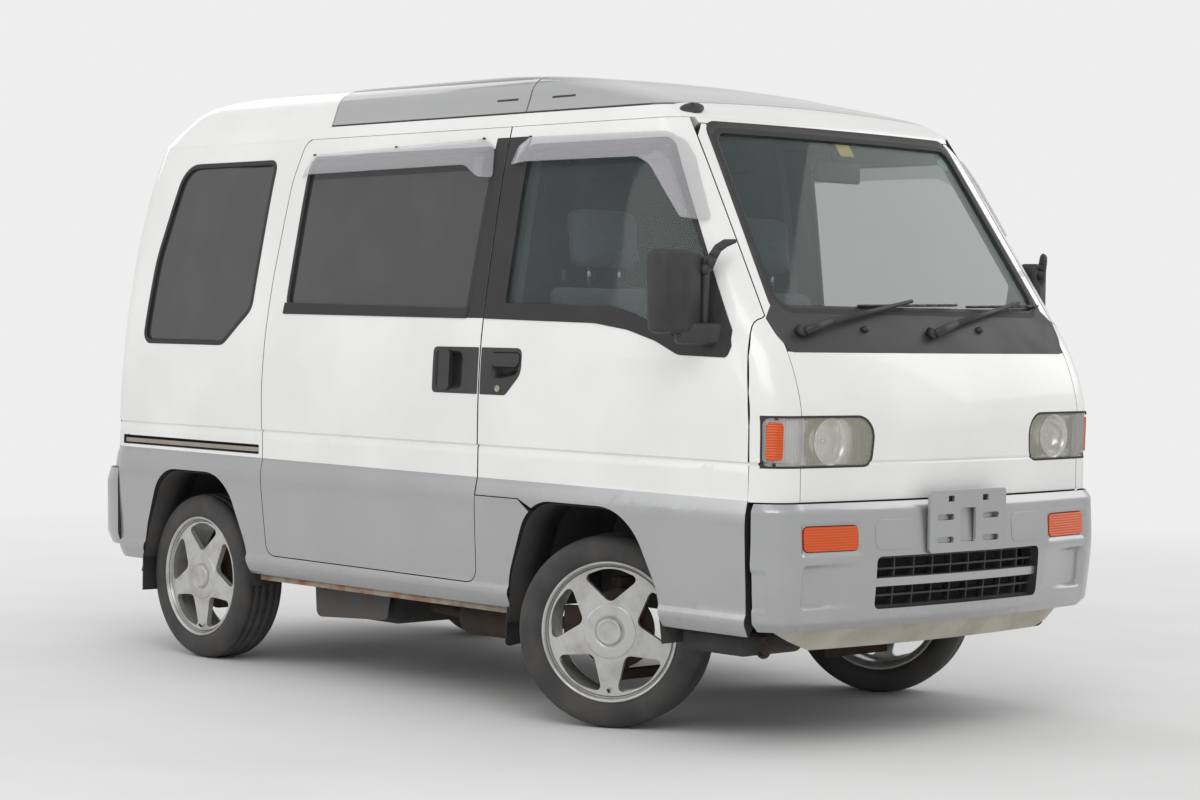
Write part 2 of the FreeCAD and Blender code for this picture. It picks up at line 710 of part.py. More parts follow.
def build_roof(pieces, shell, header_zone, screen_hole, door_prism, gate_hole):
    """The white roof panel with its headers, and the two pieces of the glass roof."""
    cap = hull(ROOF_SLICES, 0.0)
    glass_cap = cap.cut(lowered_roof(ROOF_GLASS_THICKNESS))
    glass_zone = box(-HULL_X, HULL_X, ROOF_GLASS_FRONT_Y, ROOF_GLASS_REAR_Y, GLASS_ROOF_EDGE_Z, OVER)
    roof_glass = glass_cap.common(glass_zone)
    half_seam = ROOF_GLASS_SEAM / 2
    pieces["roof_glass_front"] = roof_glass.common(
        box(-HULL_X, HULL_X, -OVER, ROOF_GLASS_SPLIT_Y - half_seam, 0, OVER))
    pieces["roof_glass_rear"] = roof_glass.common(
        box(-HULL_X, HULL_X, ROOF_GLASS_SPLIT_Y + half_seam, OVER, 0, OVER))
    roof = cap.cut(lowered_roof(ROOF_WALL)).cut(roof_glass)
    roof = roof.cut(box(-ROOF_OPENING_HALF, ROOF_OPENING_HALF, ROOF_GLASS_FRONT_Y + ROOF_OPENING_BORDER,
                        ROOF_GLASS_REAR_Y - ROOF_OPENING_BORDER, 0, OVER))
    front_header = shell.common(header_zone).cut(screen_hole).cut(door_prism)
    rear_header = hull(BODY_SLICES, GATE_HEADER_SET_IN).cut(hull(BODY_SLICES, WALL)).cut(gate_hole)
    rear_header = rear_header.common(box(-SIDE_INNER_X, SIDE_INNER_X, GATE_FRONT_Y, OVER, GATE_HEADER_Z, ROOF_EDGE_Z))
    roof = roof.fuse([front_header, rear_header])
    pieces["roof_panel"] = add_gate_lugs(roof)


def build_body(pieces):
    """The shell, split into the panels that the real body has."""
    outer = hull(BODY_SLICES, 0.0)
    shell = outer.cut(hull(BODY_SLICES, WALL))
    glass_shell = hull(BODY_SLICES, GLASS_SET_IN).cut(hull(BODY_SLICES, GLASS_SET_IN + GLASS_THICKNESS))
    cabin_core = long_hull(WALL)
    right_arches = across(side_face(FRONT_ARCH), -HULL_X, 0).fuse(across(side_face(REAR_ARCH), -HULL_X, 0))

    door, door_glass = build_front_door(shell, cabin_core, right_arches, glass_shell)
    pieces["front_door_right"] = door
    pieces["front_door_left"] = mirrored(door)
    pieces["front_door_glass_right"] = door_glass
    pieces["front_door_glass_left"] = mirrored(door_glass)
    door_prism = across(side_face(FRONT_DOOR), -HULL_X, HULL_X)

    # Sliding doors and the fixed side glass
    slide_face = side_face(SLIDING_DOOR)
    slide_window = across(side_face(SLIDING_DOOR_WINDOW), -HULL_X, 0)
    quarter_window = across(side_face(QUARTER_WINDOW), -HULL_X, 0)
    slide = shell.common(across(shrunk(slide_face, DOOR_GAP / 2), -HULL_X, -SIDE_INNER_X)).cut(slide_window)
    roller = box(-SLIDE_ROLLER_X[1], -SLIDE_ROLLER_X[0], SLIDE_ROLLER_Y[0], SLIDE_ROLLER_Y[1],
                 FLOOR_TOP_Z, FLOOR_TOP_Z + SLIDE_ROLLER_HEIGHT)
    slide = slide.fuse(roller).removeSplitter()
    pieces["sliding_door_right"] = slide
    pieces["sliding_door_left"] = mirrored(slide)
    side_glass = []
    for window in (slide_window, quarter_window):
        glass = glass_shell.common(window)
        side_glass += [glass, mirrored(glass)]
    pieces["side_glass"] = Part.makeCompound(side_glass)

    # Tailgate with its glass, and the tail lamps beside it
    gate_window = along(front_face(TAILGATE_WINDOW), GATE_FRONT_Y, OVER)
    gate_hole = along(front_face(TAILGATE), GATE_FRONT_Y, OVER)
    gate = shell.common(along(shrunk(front_face(TAILGATE), DOOR_GAP), GATE_FRONT_Y, OVER)).cut(gate_window)
    pieces["tailgate"] = add_gate_barrels(gate)
    pieces["tailgate_glass"] = glass_shell.common(gate_window)
    lamp = box(-HULL_X, -TAILGATE_HALF - TAIL_LAMP_GAP, TAIL_LAMP_FRONT_Y, OVER, TAIL_LAMP_Z[0], TAIL_LAMP_Z[1])
    lamp = lamp.common(outer).cut(hull(BODY_SLICES, TAIL_LAMP_DEPTH)).cut(gate_hole)
    pieces["tail_lamps"] = pair(lamp)

    # Side of the body: sill, rear quarter and step panel
    side = shell.common(box(-HULL_X, -SIDE_INNER_X, STEP_PANEL_FRONT_Y, OVER, SILL_Z, ROOF_EDGE_Z))
    side = side.cut(across(slide_face, -HULL_X, 0)).cut(door_prism)
    side = side.cut(quarter_window).cut(gate_hole).cut(lamp).cut(right_arches)
    side = side.cut(box(-HULL_X, 0, REAR_BUMPER_SEAM_Y, OVER, 0, REAR_BUMPER_TOP_Z))
    side = side.cut(box(-HULL_X, 0, -OVER, B_SEAM_Y, ARCH_TOP_Z, OVER))
    pieces["side_panel_right"] = side
    pieces["side_panel_left"] = mirrored(side)

    # Front corner panel with its screen pillar
    base_z = BUMPER_TOP_Z + 1.0
    corner_zone = side_face((
        (-OVER, base_z, 0.0),
        (CORNER_PANEL_REAR_Y, base_z, 0.0),
        (CORNER_PANEL_REAR_Y, CORNER_SHOULDER_Z, 0.0),
        (CORNER_TIP_Y, PILLAR_FOOT_Z, 0.0),
        (-OVER, PILLAR_FOOT_Z, 0.0),
    ))
    pillar_block = along(front_face(SCREEN_PILLAR), -OVER, -HULL_X)
    screen_hole = along(front_face(SCREEN_OPENING), -OVER, -HULL_X)
    panel_zone = box(-FRONT_PANEL_HALF, FRONT_PANEL_HALF, -OVER, 0, base_z, COWL_TOP_Z)
    header_zone = box(-HULL_X, HULL_X, -OVER, -HULL_X, SCREEN_TOP_Z, ROOF_EDGE_Z)
    pillar = shell.common(pillar_block).cut(screen_hole).cut(panel_zone).cut(header_zone)
    corner = shell.common(across(corner_zone, -HULL_X, 0)).cut(screen_hole).cut(panel_zone)
    corner = corner.fuse(pillar).common(box(-HULL_X, 0, -OVER, 0, 0, OVER)).removeSplitter()
    corner = add_door_lugs(biggest(corner))
    lamp_hole = along(front_face(HEADLAMP), -OVER, HEADLAMP_REAR_Y)
    corner = corner.cut(lamp_hole)
    pieces["front_corner_right"] = corner
    pieces["front_corner_left"] = mirrored(corner)
    front_panel = shell.common(panel_zone).cut(screen_hole)
    pieces["front_panel"] = front_panel.cut(lamp_hole).cut(mirrored(lamp_hole))
    lamp = hull(BODY_SLICES, HEADLAMP_SET_IN).cut(hull(BODY_SLICES, HEADLAMP_INNER)).common(lamp_hole)
    pieces["headlamps"] = pair(lamp)
    pieces["windshield"] = glass_shell.common(screen_hole)

    build_roof(pieces, shell, header_zone, screen_hole, door_prism, gate_hole)

    # Pillars between the doors, inside
    pillar_shell = hull(BODY_SLICES, WALL + DOOR_GAP).cut(hull(BODY_SLICES, WALL + DOOR_GAP + PILLAR_DEPTH))
    pieces["door_pillars"] = pair(pillar_shell.common(
        box(-HULL_X, -SIDE_INNER_X, B_SEAM_Y - PILLAR_HALF_LENGTH, B_SEAM_Y + PILLAR_HALF_LENGTH,
            FLOOR_TOP_Z, ROOF_EDGE_Z)))


def build_floor(pieces):
    """Floor between the side walls, wheel housings, rails and sill boxes below it, and the mud flaps."""
    side_room = hull(BODY_SLICES, WALL + DOOR_GAP)
    beam_room = cylinder(REAR_BEAM_RADIUS + REAR_BEAM_ROOM,
                         (-HOUSING_OUTER_X, REAR_AXLE_Y, TYRE_RADIUS), (0, REAR_AXLE_Y, TYRE_RADIUS))
    housings = []
    arch_rooms = []
    for rows, limit in ((FRONT_ARCH, side_room), (REAR_ARCH, hull(BODY_SLICES, WALL))):
        arch = across(side_face(rows), -HULL_X, -HOUSING_INNER_X)
        block = across(side_face(rows).makeOffset2D(HOUSING_WALL), -HOUSING_OUTER_X, -HOUSING_INNER_X + HOUSING_WALL)
        block = block.cut(arch).common(box(-HULL_X, 0, -OVER, OVER, SILL_Z, OVER)).common(limit).cut(beam_room)
        housings += [block, mirrored(block)]
        arch_rooms += [arch, mirrored(arch)]
    floor = side_room.common(box(-HULL_X, HULL_X, FLOOR_FRONT_Y, FLOOR_REAR_Y, FLOOR_UNDER_Z, FLOOR_TOP_Z))
    for block in housings + arch_rooms:
        floor = floor.cut(block)
    pieces["floor_pan"] = floor.removeSplitter()
    pieces["wheel_housings"] = Part.makeCompound(housings)

    rail = box(-RAIL_X[1], -RAIL_X[0], -RAIL_END_Y, RAIL_END_Y, CROSS_MEMBER_Z[1], FLOOR_UNDER_Z)
    sill_box = box(-SILL_BOX_X[1], -SILL_BOX_X[0], SILL_BOX_Y[0], SILL_BOX_Y[1], SILL_BOX_Z, FLOOR_UNDER_Z)
    pieces["chassis_rails"] = Part.makeCompound([rail, mirrored(rail), sill_box, mirrored(sill_box)])

    flap = box(-MUD_FLAP_X[1], -MUD_FLAP_X[0], MUD_FLAP_Y, MUD_FLAP_Y + MUD_FLAP_THICKNESS,
               MUD_FLAP_Z[0], MUD_FLAP_Z[1])
    pieces["mud_flaps"] = pair(flap.common(across(side_face(REAR_ARCH), -HULL_X, 0)))
    pieces["engine"] = box(-ENGINE_HALF, ENGINE_HALF, ENGINE_Y[0], ENGINE_Y[1], ENGINE_BOTTOM_Z, FLOOR_UNDER_Z)


def build_bumpers(pieces):
    """Bumpers, grille, number plate bracket, indicators and the valance below."""
    outer = hull(FRONT_BUMPER_SLICES, 0.0)
    front_limit = CORNER_PANEL_REAR_Y - DOOR_GAP
    bumper = outer.cut(hull(FRONT_BUMPER_SLICES, BUMPER_WALL))
    bumper = bumper.common(box(-HULL_X, HULL_X, -OVER, front_limit, 0, OVER))
    grille_face = front_face(rectangle(-GRILLE_HALF, GRILLE_HALF, GRILLE_BOTTOM_Z, GRILLE_TOP_Z, GRILLE_CORNER))
    grille_hole = along(grille_face, -OVER, FLOOR_FRONT_Y)
    indicator_hole = along(front_face(INDICATOR), -OVER, FLOOR_FRONT_Y)
    pieces["front_bumper"] = bumper.cut(grille_hole).cut(indicator_hole).cut(mirrored(indicator_hole))
    indicator = hull(FRONT_BUMPER_SLICES, INDICATOR_SET_IN).cut(hull(FRONT_BUMPER_SLICES, INDICATOR_INNER))
    pieces["front_indicators"] = pair(indicator.common(indicator_hole))

    slab = hull(FRONT_BUMPER_SLICES, GRILLE_SET_IN).cut(hull(FRONT_BUMPER_SLICES, GRILLE_INNER))
    slab = slab.common(grille_hole)
    middle = (GRILLE_BOTTOM_Z + GRILLE_TOP_Z) / 2
    near, far = GRILLE_ROW_SPLIT
    rows_z = (
        (GRILLE_BOTTOM_Z + GRILLE_EDGE_BORDER, middle - far),
        (middle - near, middle - GRILLE_BAR_HALF),
        (middle + GRILLE_BAR_HALF, middle + near),
        (middle + far, GRILLE_TOP_Z - GRILLE_EDGE_BORDER),
    )
    pitch = 2 * (GRILLE_HALF - GRILLE_END_BORDER) / GRILLE_COLUMNS
    openings = []
    for i in range(GRILLE_COLUMNS):
        x = -GRILLE_HALF + GRILLE_END_BORDER + i * pitch
        for low, high in rows_z:
            openings.append(box(x + GRILLE_RIB_HALF, x + pitch - GRILLE_RIB_HALF, -OVER, 0, low, high))
    pieces["grille"] = slab.cut(Part.makeCompound(openings))

    face_y = FRONT_BUMPER_SLICES[2][2] - FRONT_BUMPER_SLICES[2][6]
    bracket_face = front_face(rectangle(-PLATE_HALF, PLATE_HALF, PLATE_Z[0], PLATE_Z[1], PLATE_CORNER))
    bracket = along(bracket_face, face_y - PLATE_DEPTH, face_y + PLATE_PAST_FACE)
    slot = front_face(rectangle(-PLATE_SLOT_HALF, PLATE_SLOT_HALF, PLATE_SLOT_Z[0], PLATE_SLOT_Z[1],
                                PLATE_SLOT_CORNER))
    bracket = bracket.cut(along(slot, -OVER, face_y - PLATE_BACK))
    for x in (-PLATE_HOLE_SPACING / 2, PLATE_HOLE_SPACING / 2):
        bracket = bracket.cut(cylinder(PLATE_HOLE_RADIUS, (x, -OVER, PLATE_HOLE_Z), (x, 0, PLATE_HOLE_Z)))
    pieces["plate_bracket"] = bracket.cut(outer)

    valance_inner = hull(VALANCE_SLICES, VALANCE_WALL)
    valance = hull(VALANCE_SLICES, 0.0).cut(valance_inner)
    valance_top = VALANCE_SLICES[-1][0]
    tray = valance_inner.common(box(-HULL_X, HULL_X, -OVER, 0, valance_top - VALANCE_WALL, valance_top))
    valance = valance.fuse(tray).common(box(-HULL_X, HULL_X, -OVER, VALANCE_REAR_Y, 0, OVER))
    pieces["front_valance"] = valance.removeSplitter()

    rear = hull(REAR_BUMPER_SLICES, 0.0).cut(hull(REAR_BUMPER_SLICES, BUMPER_WALL))
    pieces["rear_bumper"] = rear.common(box(-HULL_X, HULL_X, REAR_BUMPER_SEAM_Y, LENGTH / 2, 0, OVER))


def rim_solid():
    """A five spoked rim about the X axis, its face towards -X, with the hub at the origin."""
    half = RIM_WIDTH / 2
    bore_radius = TYRE_BEAD_RADIUS - RIM_WALL
    rim = fused([
        disc_about_x(TYRE_BEAD_RADIUS, -half, half),
        disc_about_x(RIM_FLANGE_RADIUS, -half, -half + RIM_FLANGE_THICKNESS),
        disc_about_x(RIM_FLANGE_RADIUS, half - RIM_FLANGE_THICKNESS, half),
    ]).cut(disc_about_x(bore_radius, -RIM_WIDTH, RIM_WIDTH))
    face_x = -half + RIM_FACE_DEPTH
    disc = disc_about_x(bore_radius + RIM_WALL / 2, face_x, face_x + SPOKE_THICKNESS)
    for i in range(SPOKES):
        window = outline_face((
            (SPOKE_WINDOW_INNER, 0.0, 12.0),
            (SPOKE_WINDOW_OUTER, SPOKE_WINDOW_HALF, 16.0),
            (SPOKE_WINDOW_OUTER + SPOKE_WINDOW_BOW, 0.0, 120.0),
            (SPOKE_WINDOW_OUTER, -SPOKE_WINDOW_HALF, 16.0),
        ), lambda a, b: V(0, b, a))
        window = window.extrude(V(RIM_WIDTH, 0, 0))
        window.translate(V(-half, 0, 0))
        window.rotate(V(0, 0, 0), X_AXIS, i * 360.0 / SPOKES)
        disc = disc.cut(window)
    hub_start = face_x - HUB_PROUD
    hub = disc_about_x(HUB_OUTER_RADIUS, hub_start, hub_start + HUB_LENGTH)
    bore = disc_about_x(HUB_BORE_RADIUS, hub_start + HUB_CAP, hub_start + HUB_LENGTH)
    return rim.fuse([disc, hub]).cut(bore).removeSplitter()


def tyre_solid():
    """A plain tyre about the X axis, seated on the rim."""
    half = TYRE_WIDTH / 2
    bead_half = RIM_WIDTH / 2 - RIM_FLANGE_THICKNESS
    bead_top = RIM_FLANGE_RADIUS + REST_GAP
    points = (
        (-bead_half, TYRE_BEAD_RADIUS),
        (bead_half, TYRE_BEAD_RADIUS),
        (bead_half, bead_top),
        (half, bead_top + TYRE_BULGE_HEIGHT),
        (half - TYRE_BULGE, TYRE_RADIUS - TYRE_SHOULDER),
        (half - TYRE_SHOULDER, TYRE_RADIUS),
        (-half + TYRE_SHOULDER, TYRE_RADIUS),
        (-half + TYRE_BULGE, TYRE_RADIUS - TYRE_SHOULDER),
        (-half, bead_top + TYRE_BULGE_HEIGHT),
        (-bead_half, bead_top),
    )
    wire = Part.makePolygon([V(a, b, 0) for a, b in points + points[:1]])
    return Part.Face(wire).revolve(V(0, 0, 0), X_AXIS, 360)


def place_wheel(shape, side, y, steer):
    """Put a wheel piece at its hub: side is -1 on the right and 1 on the left."""
    placed = shape.copy()
    if side > 0:
        placed.rotate(V(0, 0, 0), Z_AXIS, 180)
    placed.translate(V(side * WHEEL_CENTRE_X, y, TYRE_RADIUS))
    placed.rotate(V(side * KINGPIN_X, y, 0), Z_AXIS, steer)
    return placed


def build_wheels(pieces):
    """Four wheels, the front pair steered as the van stands."""
    rim = rim_solid()
    tyre = tyre_solid()
    for name, side, y, steer in (
        ("front_right", -1, FRONT_AXLE_Y, STEER_AT_REST),
        ("front_left", 1, FRONT_AXLE_Y, STEER_AT_REST),
        ("rear_right", -1, REAR_AXLE_Y, 0.0),
        ("rear_left", 1, REAR_AXLE_Y, 0.0),
    ):
        pieces["rim_" + name] = place_wheel(rim, side, y, steer)
        pieces["tyre_" + name] = place_wheel(tyre, side, y, steer)


def build_knuckles(pieces, spindle_start, disc_x):
    """Steering knuckles: spindle, brake disc with caliper, and the sleeve about the kingpin."""
    z = TYRE_RADIUS
    y = FRONT_AXLE_Y
    spindle_radius = HUB_BORE_RADIUS - HUB_FIT
    sleeve_reach = FORK_REACH - SLEEVE_GAP
    knuckle = fused([
        cylinder(spindle_radius, (spindle_start, y, z), (-KINGPIN_X + SPINDLE_PAST_KINGPIN, y, z)),
        cylinder(BRAKE_RADIUS, (disc_x, y, z), (disc_x + BRAKE_THICKNESS, y, z)),
        box(disc_x - CALIPER_OUTER, disc_x + BRAKE_THICKNESS + CALIPER_INNER,
            y + CALIPER_Y[0], y + CALIPER_Y[1], z + CALIPER_Z[0], z + CALIPER_Z[1]),
        cylinder(KINGPIN_RADIUS + SLEEVE_WALL, (-KINGPIN_X, y, z - sleeve_reach), (-KINGPIN_X, y, z + sleeve_reach)),
    ])
    knuckle = knuckle.cut(cylinder(KINGPIN_RADIUS + KINGPIN_FIT, (-KINGPIN_X, y, z - FORK_REACH),
                                   (-KINGPIN_X, y, z + FORK_REACH)))
    for side, name in ((-1, "knuckle_right"), (1, "knuckle_left")):
        placed = knuckle.copy()
        if side > 0:
            placed = mirrored(placed)
        placed.rotate(V(side * KINGPIN_X, y, 0), Z_AXIS, STEER_AT_REST)
        pieces[name] = placed


def build_running_gear(pieces):
    """Knuckles, front cross member with its forks and struts, and the rear axle."""
    hub_start = -WHEEL_CENTRE_X - RIM_WIDTH / 2 + RIM_FACE_DEPTH - HUB_PROUD
    spindle_start = hub_start + HUB_CAP + SPINDLE_END_GAP
    disc_x = hub_start + HUB_LENGTH + REST_GAP
    build_knuckles(pieces, spindle_start, disc_x)

    z = TYRE_RADIUS
    y = FRONT_AXLE_Y
    low = z - FORK_REACH
    high = z + FORK_REACH
    outer_x = -KINGPIN_X - FORK_PAST_KINGPIN
    y0 = y - FORK_HALF_WIDTH
    y1 = y + FORK_HALF_WIDTH
    member_z0, member_z1 = CROSS_MEMBER_Z
    member_half = CROSS_MEMBER_DEPTH / 2
    parts = [box(-CROSS_MEMBER_HALF, CROSS_MEMBER_HALF, y - member_half, y + member_half, member_z0, member_z1)]
    post_x = -CROSS_MEMBER_HALF + ARM_OVERLAP
    strut_top = ARCH_TOP_Z - REST_GAP
    for piece in (
        box(outer_x, post_x, y0, y1, low - FORK_ARM, low),
        box(post_x - ARM_POST_WIDTH, post_x, y0, y1, low - FORK_ARM, member_z0 + ARM_OVERLAP),
        box(outer_x, -STRUT_X, y0, y1, high, high + FORK_ARM),
        cylinder(KINGPIN_RADIUS, (-KINGPIN_X, y, low - KINGPIN_END), (-KINGPIN_X, y, high + KINGPIN_END)),
        cylinder(STRUT_RADIUS, (-STRUT_X, y, high), (-STRUT_X, y, strut_top)),
    ):
        parts += [piece, mirrored(piece)]
    pieces["front_suspension"] = fused(parts)

    y = REAR_AXLE_Y
    link_y = y - LINK_LENGTH
    parts = [cylinder(REAR_BEAM_RADIUS, (disc_x, y, z), (-disc_x, y, z))]
    for piece in (
        cylinder(HUB_BORE_RADIUS - HUB_FIT, (spindle_start, y, z), (disc_x + REAR_DRUM_WIDTH, y, z)),
        cylinder(BRAKE_RADIUS, (disc_x, y, z), (disc_x + REAR_DRUM_WIDTH, y, z)),
        box(-LINK_X[1], -LINK_X[0], link_y, y, z - LINK_HALF_HEIGHT, z + LINK_HALF_HEIGHT),
        box(-LINK_X[1], -LINK_X[0], link_y, link_y + LINK_POST_LENGTH, z - LINK_HALF_HEIGHT, member_z1),
        cylinder(SPRING_RADIUS, (-SPRING_X, y, z), (-SPRING_X, y, strut_top)),
    ):
        parts += [piece, mirrored(piece)]
    pieces["rear_axle"] = fused(parts)


def build_seats(pieces):
    """Two front seats and a rear bench, each a cushion, a leaning back and its base."""
    cushions = []
    bases = []
    for x0, x1, y0, y1, top, back_top, head_rest in SEATS:
        under = top - CUSHION_THICKNESS
        seat_rear = y1 - BACK_THICKNESS
        top_rear = y1 + BACK_LEAN
        cushions.append(upright(plan_face((
            (x0, y0, SEAT_FRONT_CORNER), (x1, y0, SEAT_FRONT_CORNER),
            (x1, seat_rear, SEAT_CORNER), (x0, seat_rear, SEAT_CORNER))), under, top))
        cushions.append(across(side_face((
            (seat_rear + REST_GAP, under + BACK_FOOT, 0.0),
            (y1, under + BACK_FOOT, SEAT_CORNER),
            (top_rear, back_top, BACK_CORNER),
            (top_rear - BACK_THICKNESS, back_top, BACK_CORNER),
        )), x0 + BACK_SIDE_INSET, x1 - BACK_SIDE_INSET))
        base_z = FLOOR_TOP_Z
        if head_rest:
            base_z = ARCH_TOP_Z + HOUSING_WALL
            middle = (x0 + x1) / 2
            foot_z = back_top + HEAD_REST_GAP
            cushions.append(across(side_face((
                (top_rear + HEAD_REST_FOOT[0], foot_z, HEAD_REST_CORNERS[0]),
                (top_rear + HEAD_REST_FOOT[1], foot_z, HEAD_REST_CORNERS[0]),
                (top_rear + HEAD_REST_TIP[1], back_top + HEAD_REST_TOP, HEAD_REST_CORNERS[1]),
                (top_rear + HEAD_REST_TIP[0], back_top + HEAD_REST_TOP, HEAD_REST_CORNERS[1]),
            )), middle - HEAD_REST_HALF, middle + HEAD_REST_HALF))
            for x in (middle - POST_SPACING / 2, middle + POST_SPACING / 2):
                bases.append(cylinder(POST_RADIUS, (x, top_rear + POST_Y, back_top + REST_GAP),
                                      (x, top_rear + POST_Y, foot_z - REST_GAP)))
        bases.append(box(x0 + SEAT_BASE_SIDE, x1 - SEAT_BASE_SIDE, y0 + SEAT_BASE_FRONT,
                         seat_rear - SEAT_BASE_REAR, base_z, under))
    pieces["seats"] = Part.makeCompound(cushions)
    pieces["seat_frames"] = Part.makeCompound(bases)


def build_dashboard(pieces):
    """Dashboard across the cabin with the steering column, and the steering wheel on it."""
    tilt = math.radians(WHEEL_TILT)
    axis = V(0, math.sin(tilt), math.cos(tilt))
    centre = V(STEERING_X, STEERING_Y, STEERING_Z)

    def rod(radius, reach):
        return cylinder(radius, tuple(centre - axis * reach[0]), tuple(centre - axis * reach[1]))

    dash = across(side_face(DASH), -HULL_X, HULL_X).common(hull(BODY_SLICES, WALL + DOOR_GAP))
    pedestal = across(side_face(PEDESTAL), -PEDESTAL_HALF, PEDESTAL_HALF)
    pieces["dashboard"] = fused([dash, rod(COLUMN_RADIUS, COLUMN_REACH), rod(SHAFT_RADIUS, SHAFT_REACH), pedestal])

    parts = [
        Part.makeTorus(STEERING_RADIUS, STEERING_GRIP_RADIUS, centre, axis),
        rod(STEERING_HUB_RADIUS, (-STEERING_HUB_UP, STEERING_HUB_DOWN)),
    ]
    down_wheel = axis.cross(X_AXIS)
    foot = centre - axis * STEERING_SPOKE_DROP
    for direction in (X_AXIS, X_AXIS * -1, down_wheel * -1):
        parts.append(cylinder(STEERING_SPOKE_RADIUS, tuple(foot), tuple(centre + direction * STEERING_RADIUS)))
    pieces["steering_wheel"] = fused(parts).cut(rod(SHAFT_BORE_RADIUS, SHAFT_BORE_REACH))


def build_mirrors(pieces):
    """Door mirrors on arms at the front corner of the door glass, the left one folded back."""
    skin = hull(BODY_SLICES, MIRROR_FOOT_HALF_THICKNESS)
    foot = hull(BODY_SLICES, -MIRROR_FOOT_HALF_THICKNESS).common(across(side_face(MIRROR_FOOT), -HULL_X, 0))
    right = fused([
        upright(plan_face(MIRROR_HEAD), MIRROR_HEAD_Z[0], MIRROR_HEAD_Z[1]),
        upright(plan_face(MIRROR_ARM), MIRROR_ARM_Z[0], MIRROR_ARM_Z[1]),
        foot,
    ]).cut(skin)
    left = mirrored(upright(plan_face(MIRROR_HEAD), MIRROR_HEAD_Z[0], MIRROR_HEAD_Z[1]))
    left.rotate(V(MIRROR_FOLD_X, MIRROR_FOLD_Y, 0), Z_AXIS, MIRROR_FOLD)
    left = fused([
        left,
        mirrored(upright(plan_face(MIRROR_ARM), MIRROR_ARM_Z[0], MIRROR_ARM_Z[1])),
        mirrored(foot),
    ]).cut(skin)
    for side, mirror in (("right", right), ("left", left)):
        mirror = mirror.cut(pieces["front_door_" + side]).cut(pieces["front_door_glass_" + side])
        pieces["mirror_" + side] = biggest(mirror)


def main():
    """Build every piece and write it to its own file."""
    os.makedirs("parts", exist_ok=True)
    pieces = {}
    build_body(pieces)
    build_floor(pieces)
    build_bumpers(pieces)
    build_wheels(pieces)
    build_running_gear(pieces)
    build_seats(pieces)
    build_dashboard(pieces)
    build_mirrors(pieces)
    for name, shape in pieces.items():
        shape.exportStep("parts/" + name + ".step")
        print(name, "solids", len(shape.Solids), "valid", shape.isValid(), "volume", round(shape.Volume / 1000))


main()
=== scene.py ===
"""Looks of a small one-box van, white over silver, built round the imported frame.

Sizes are millimetres in the frame's axes: -Y towards the nose, -X towards the van's right side, +Z up.
"""

import json
import logging
import math
from collections.abc import Callable
from dataclasses import dataclass
from enum import Enum

import bmesh
import bpy
from mathutils import Matrix, Vector

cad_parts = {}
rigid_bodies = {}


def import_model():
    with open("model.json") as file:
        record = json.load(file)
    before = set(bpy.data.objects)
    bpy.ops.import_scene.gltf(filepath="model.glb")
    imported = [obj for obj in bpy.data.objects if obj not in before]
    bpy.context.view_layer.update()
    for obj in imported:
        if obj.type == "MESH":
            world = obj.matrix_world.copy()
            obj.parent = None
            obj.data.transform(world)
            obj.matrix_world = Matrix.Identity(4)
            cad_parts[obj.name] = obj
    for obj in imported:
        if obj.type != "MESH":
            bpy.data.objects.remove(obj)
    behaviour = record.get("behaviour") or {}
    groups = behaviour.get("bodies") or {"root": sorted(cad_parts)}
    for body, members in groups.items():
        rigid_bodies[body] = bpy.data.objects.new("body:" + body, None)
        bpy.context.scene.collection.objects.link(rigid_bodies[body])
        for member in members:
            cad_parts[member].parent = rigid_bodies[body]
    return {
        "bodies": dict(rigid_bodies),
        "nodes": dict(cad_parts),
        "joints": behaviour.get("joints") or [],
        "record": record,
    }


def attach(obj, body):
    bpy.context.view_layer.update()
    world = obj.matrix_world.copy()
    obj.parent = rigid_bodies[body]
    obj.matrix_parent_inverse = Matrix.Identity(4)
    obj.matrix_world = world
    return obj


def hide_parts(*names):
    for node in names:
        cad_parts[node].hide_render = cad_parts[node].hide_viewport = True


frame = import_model()
log = logging.getLogger("van")

MM = 0.001
SEAM = 5
HALF_TURN = math.pi / 2
SHARP = math.radians(50)
Point = tuple[float, float]
Row = tuple[float, float, float]
Rows = tuple[Row, ...]
Colour = tuple[float, float, float]
Place = Callable[[float, float], Vector]
BMesh = bmesh.types.BMesh
Material = bpy.types.Material
Socket = bpy.types.NodeSocket


class Side(Enum):
    """Which side of the van a piece is on, with the sign of its X."""

    RIGHT = -1
    LEFT = 1

    @property
    def word(self) -> str:
        """Lower case name of the side."""
        return self.name.lower()

    def turn(self, outline: list[Point]) -> list[Point]:
        """An outline of the nose's or tail's left half, turned to this side."""
        return flipped(outline) if self is Side.RIGHT else outline


class End(Enum):
    """Which end of the van a distance round the skin starts from, with the sign of its Y."""

    NOSE = -1
    TAIL = 1


# Outlines


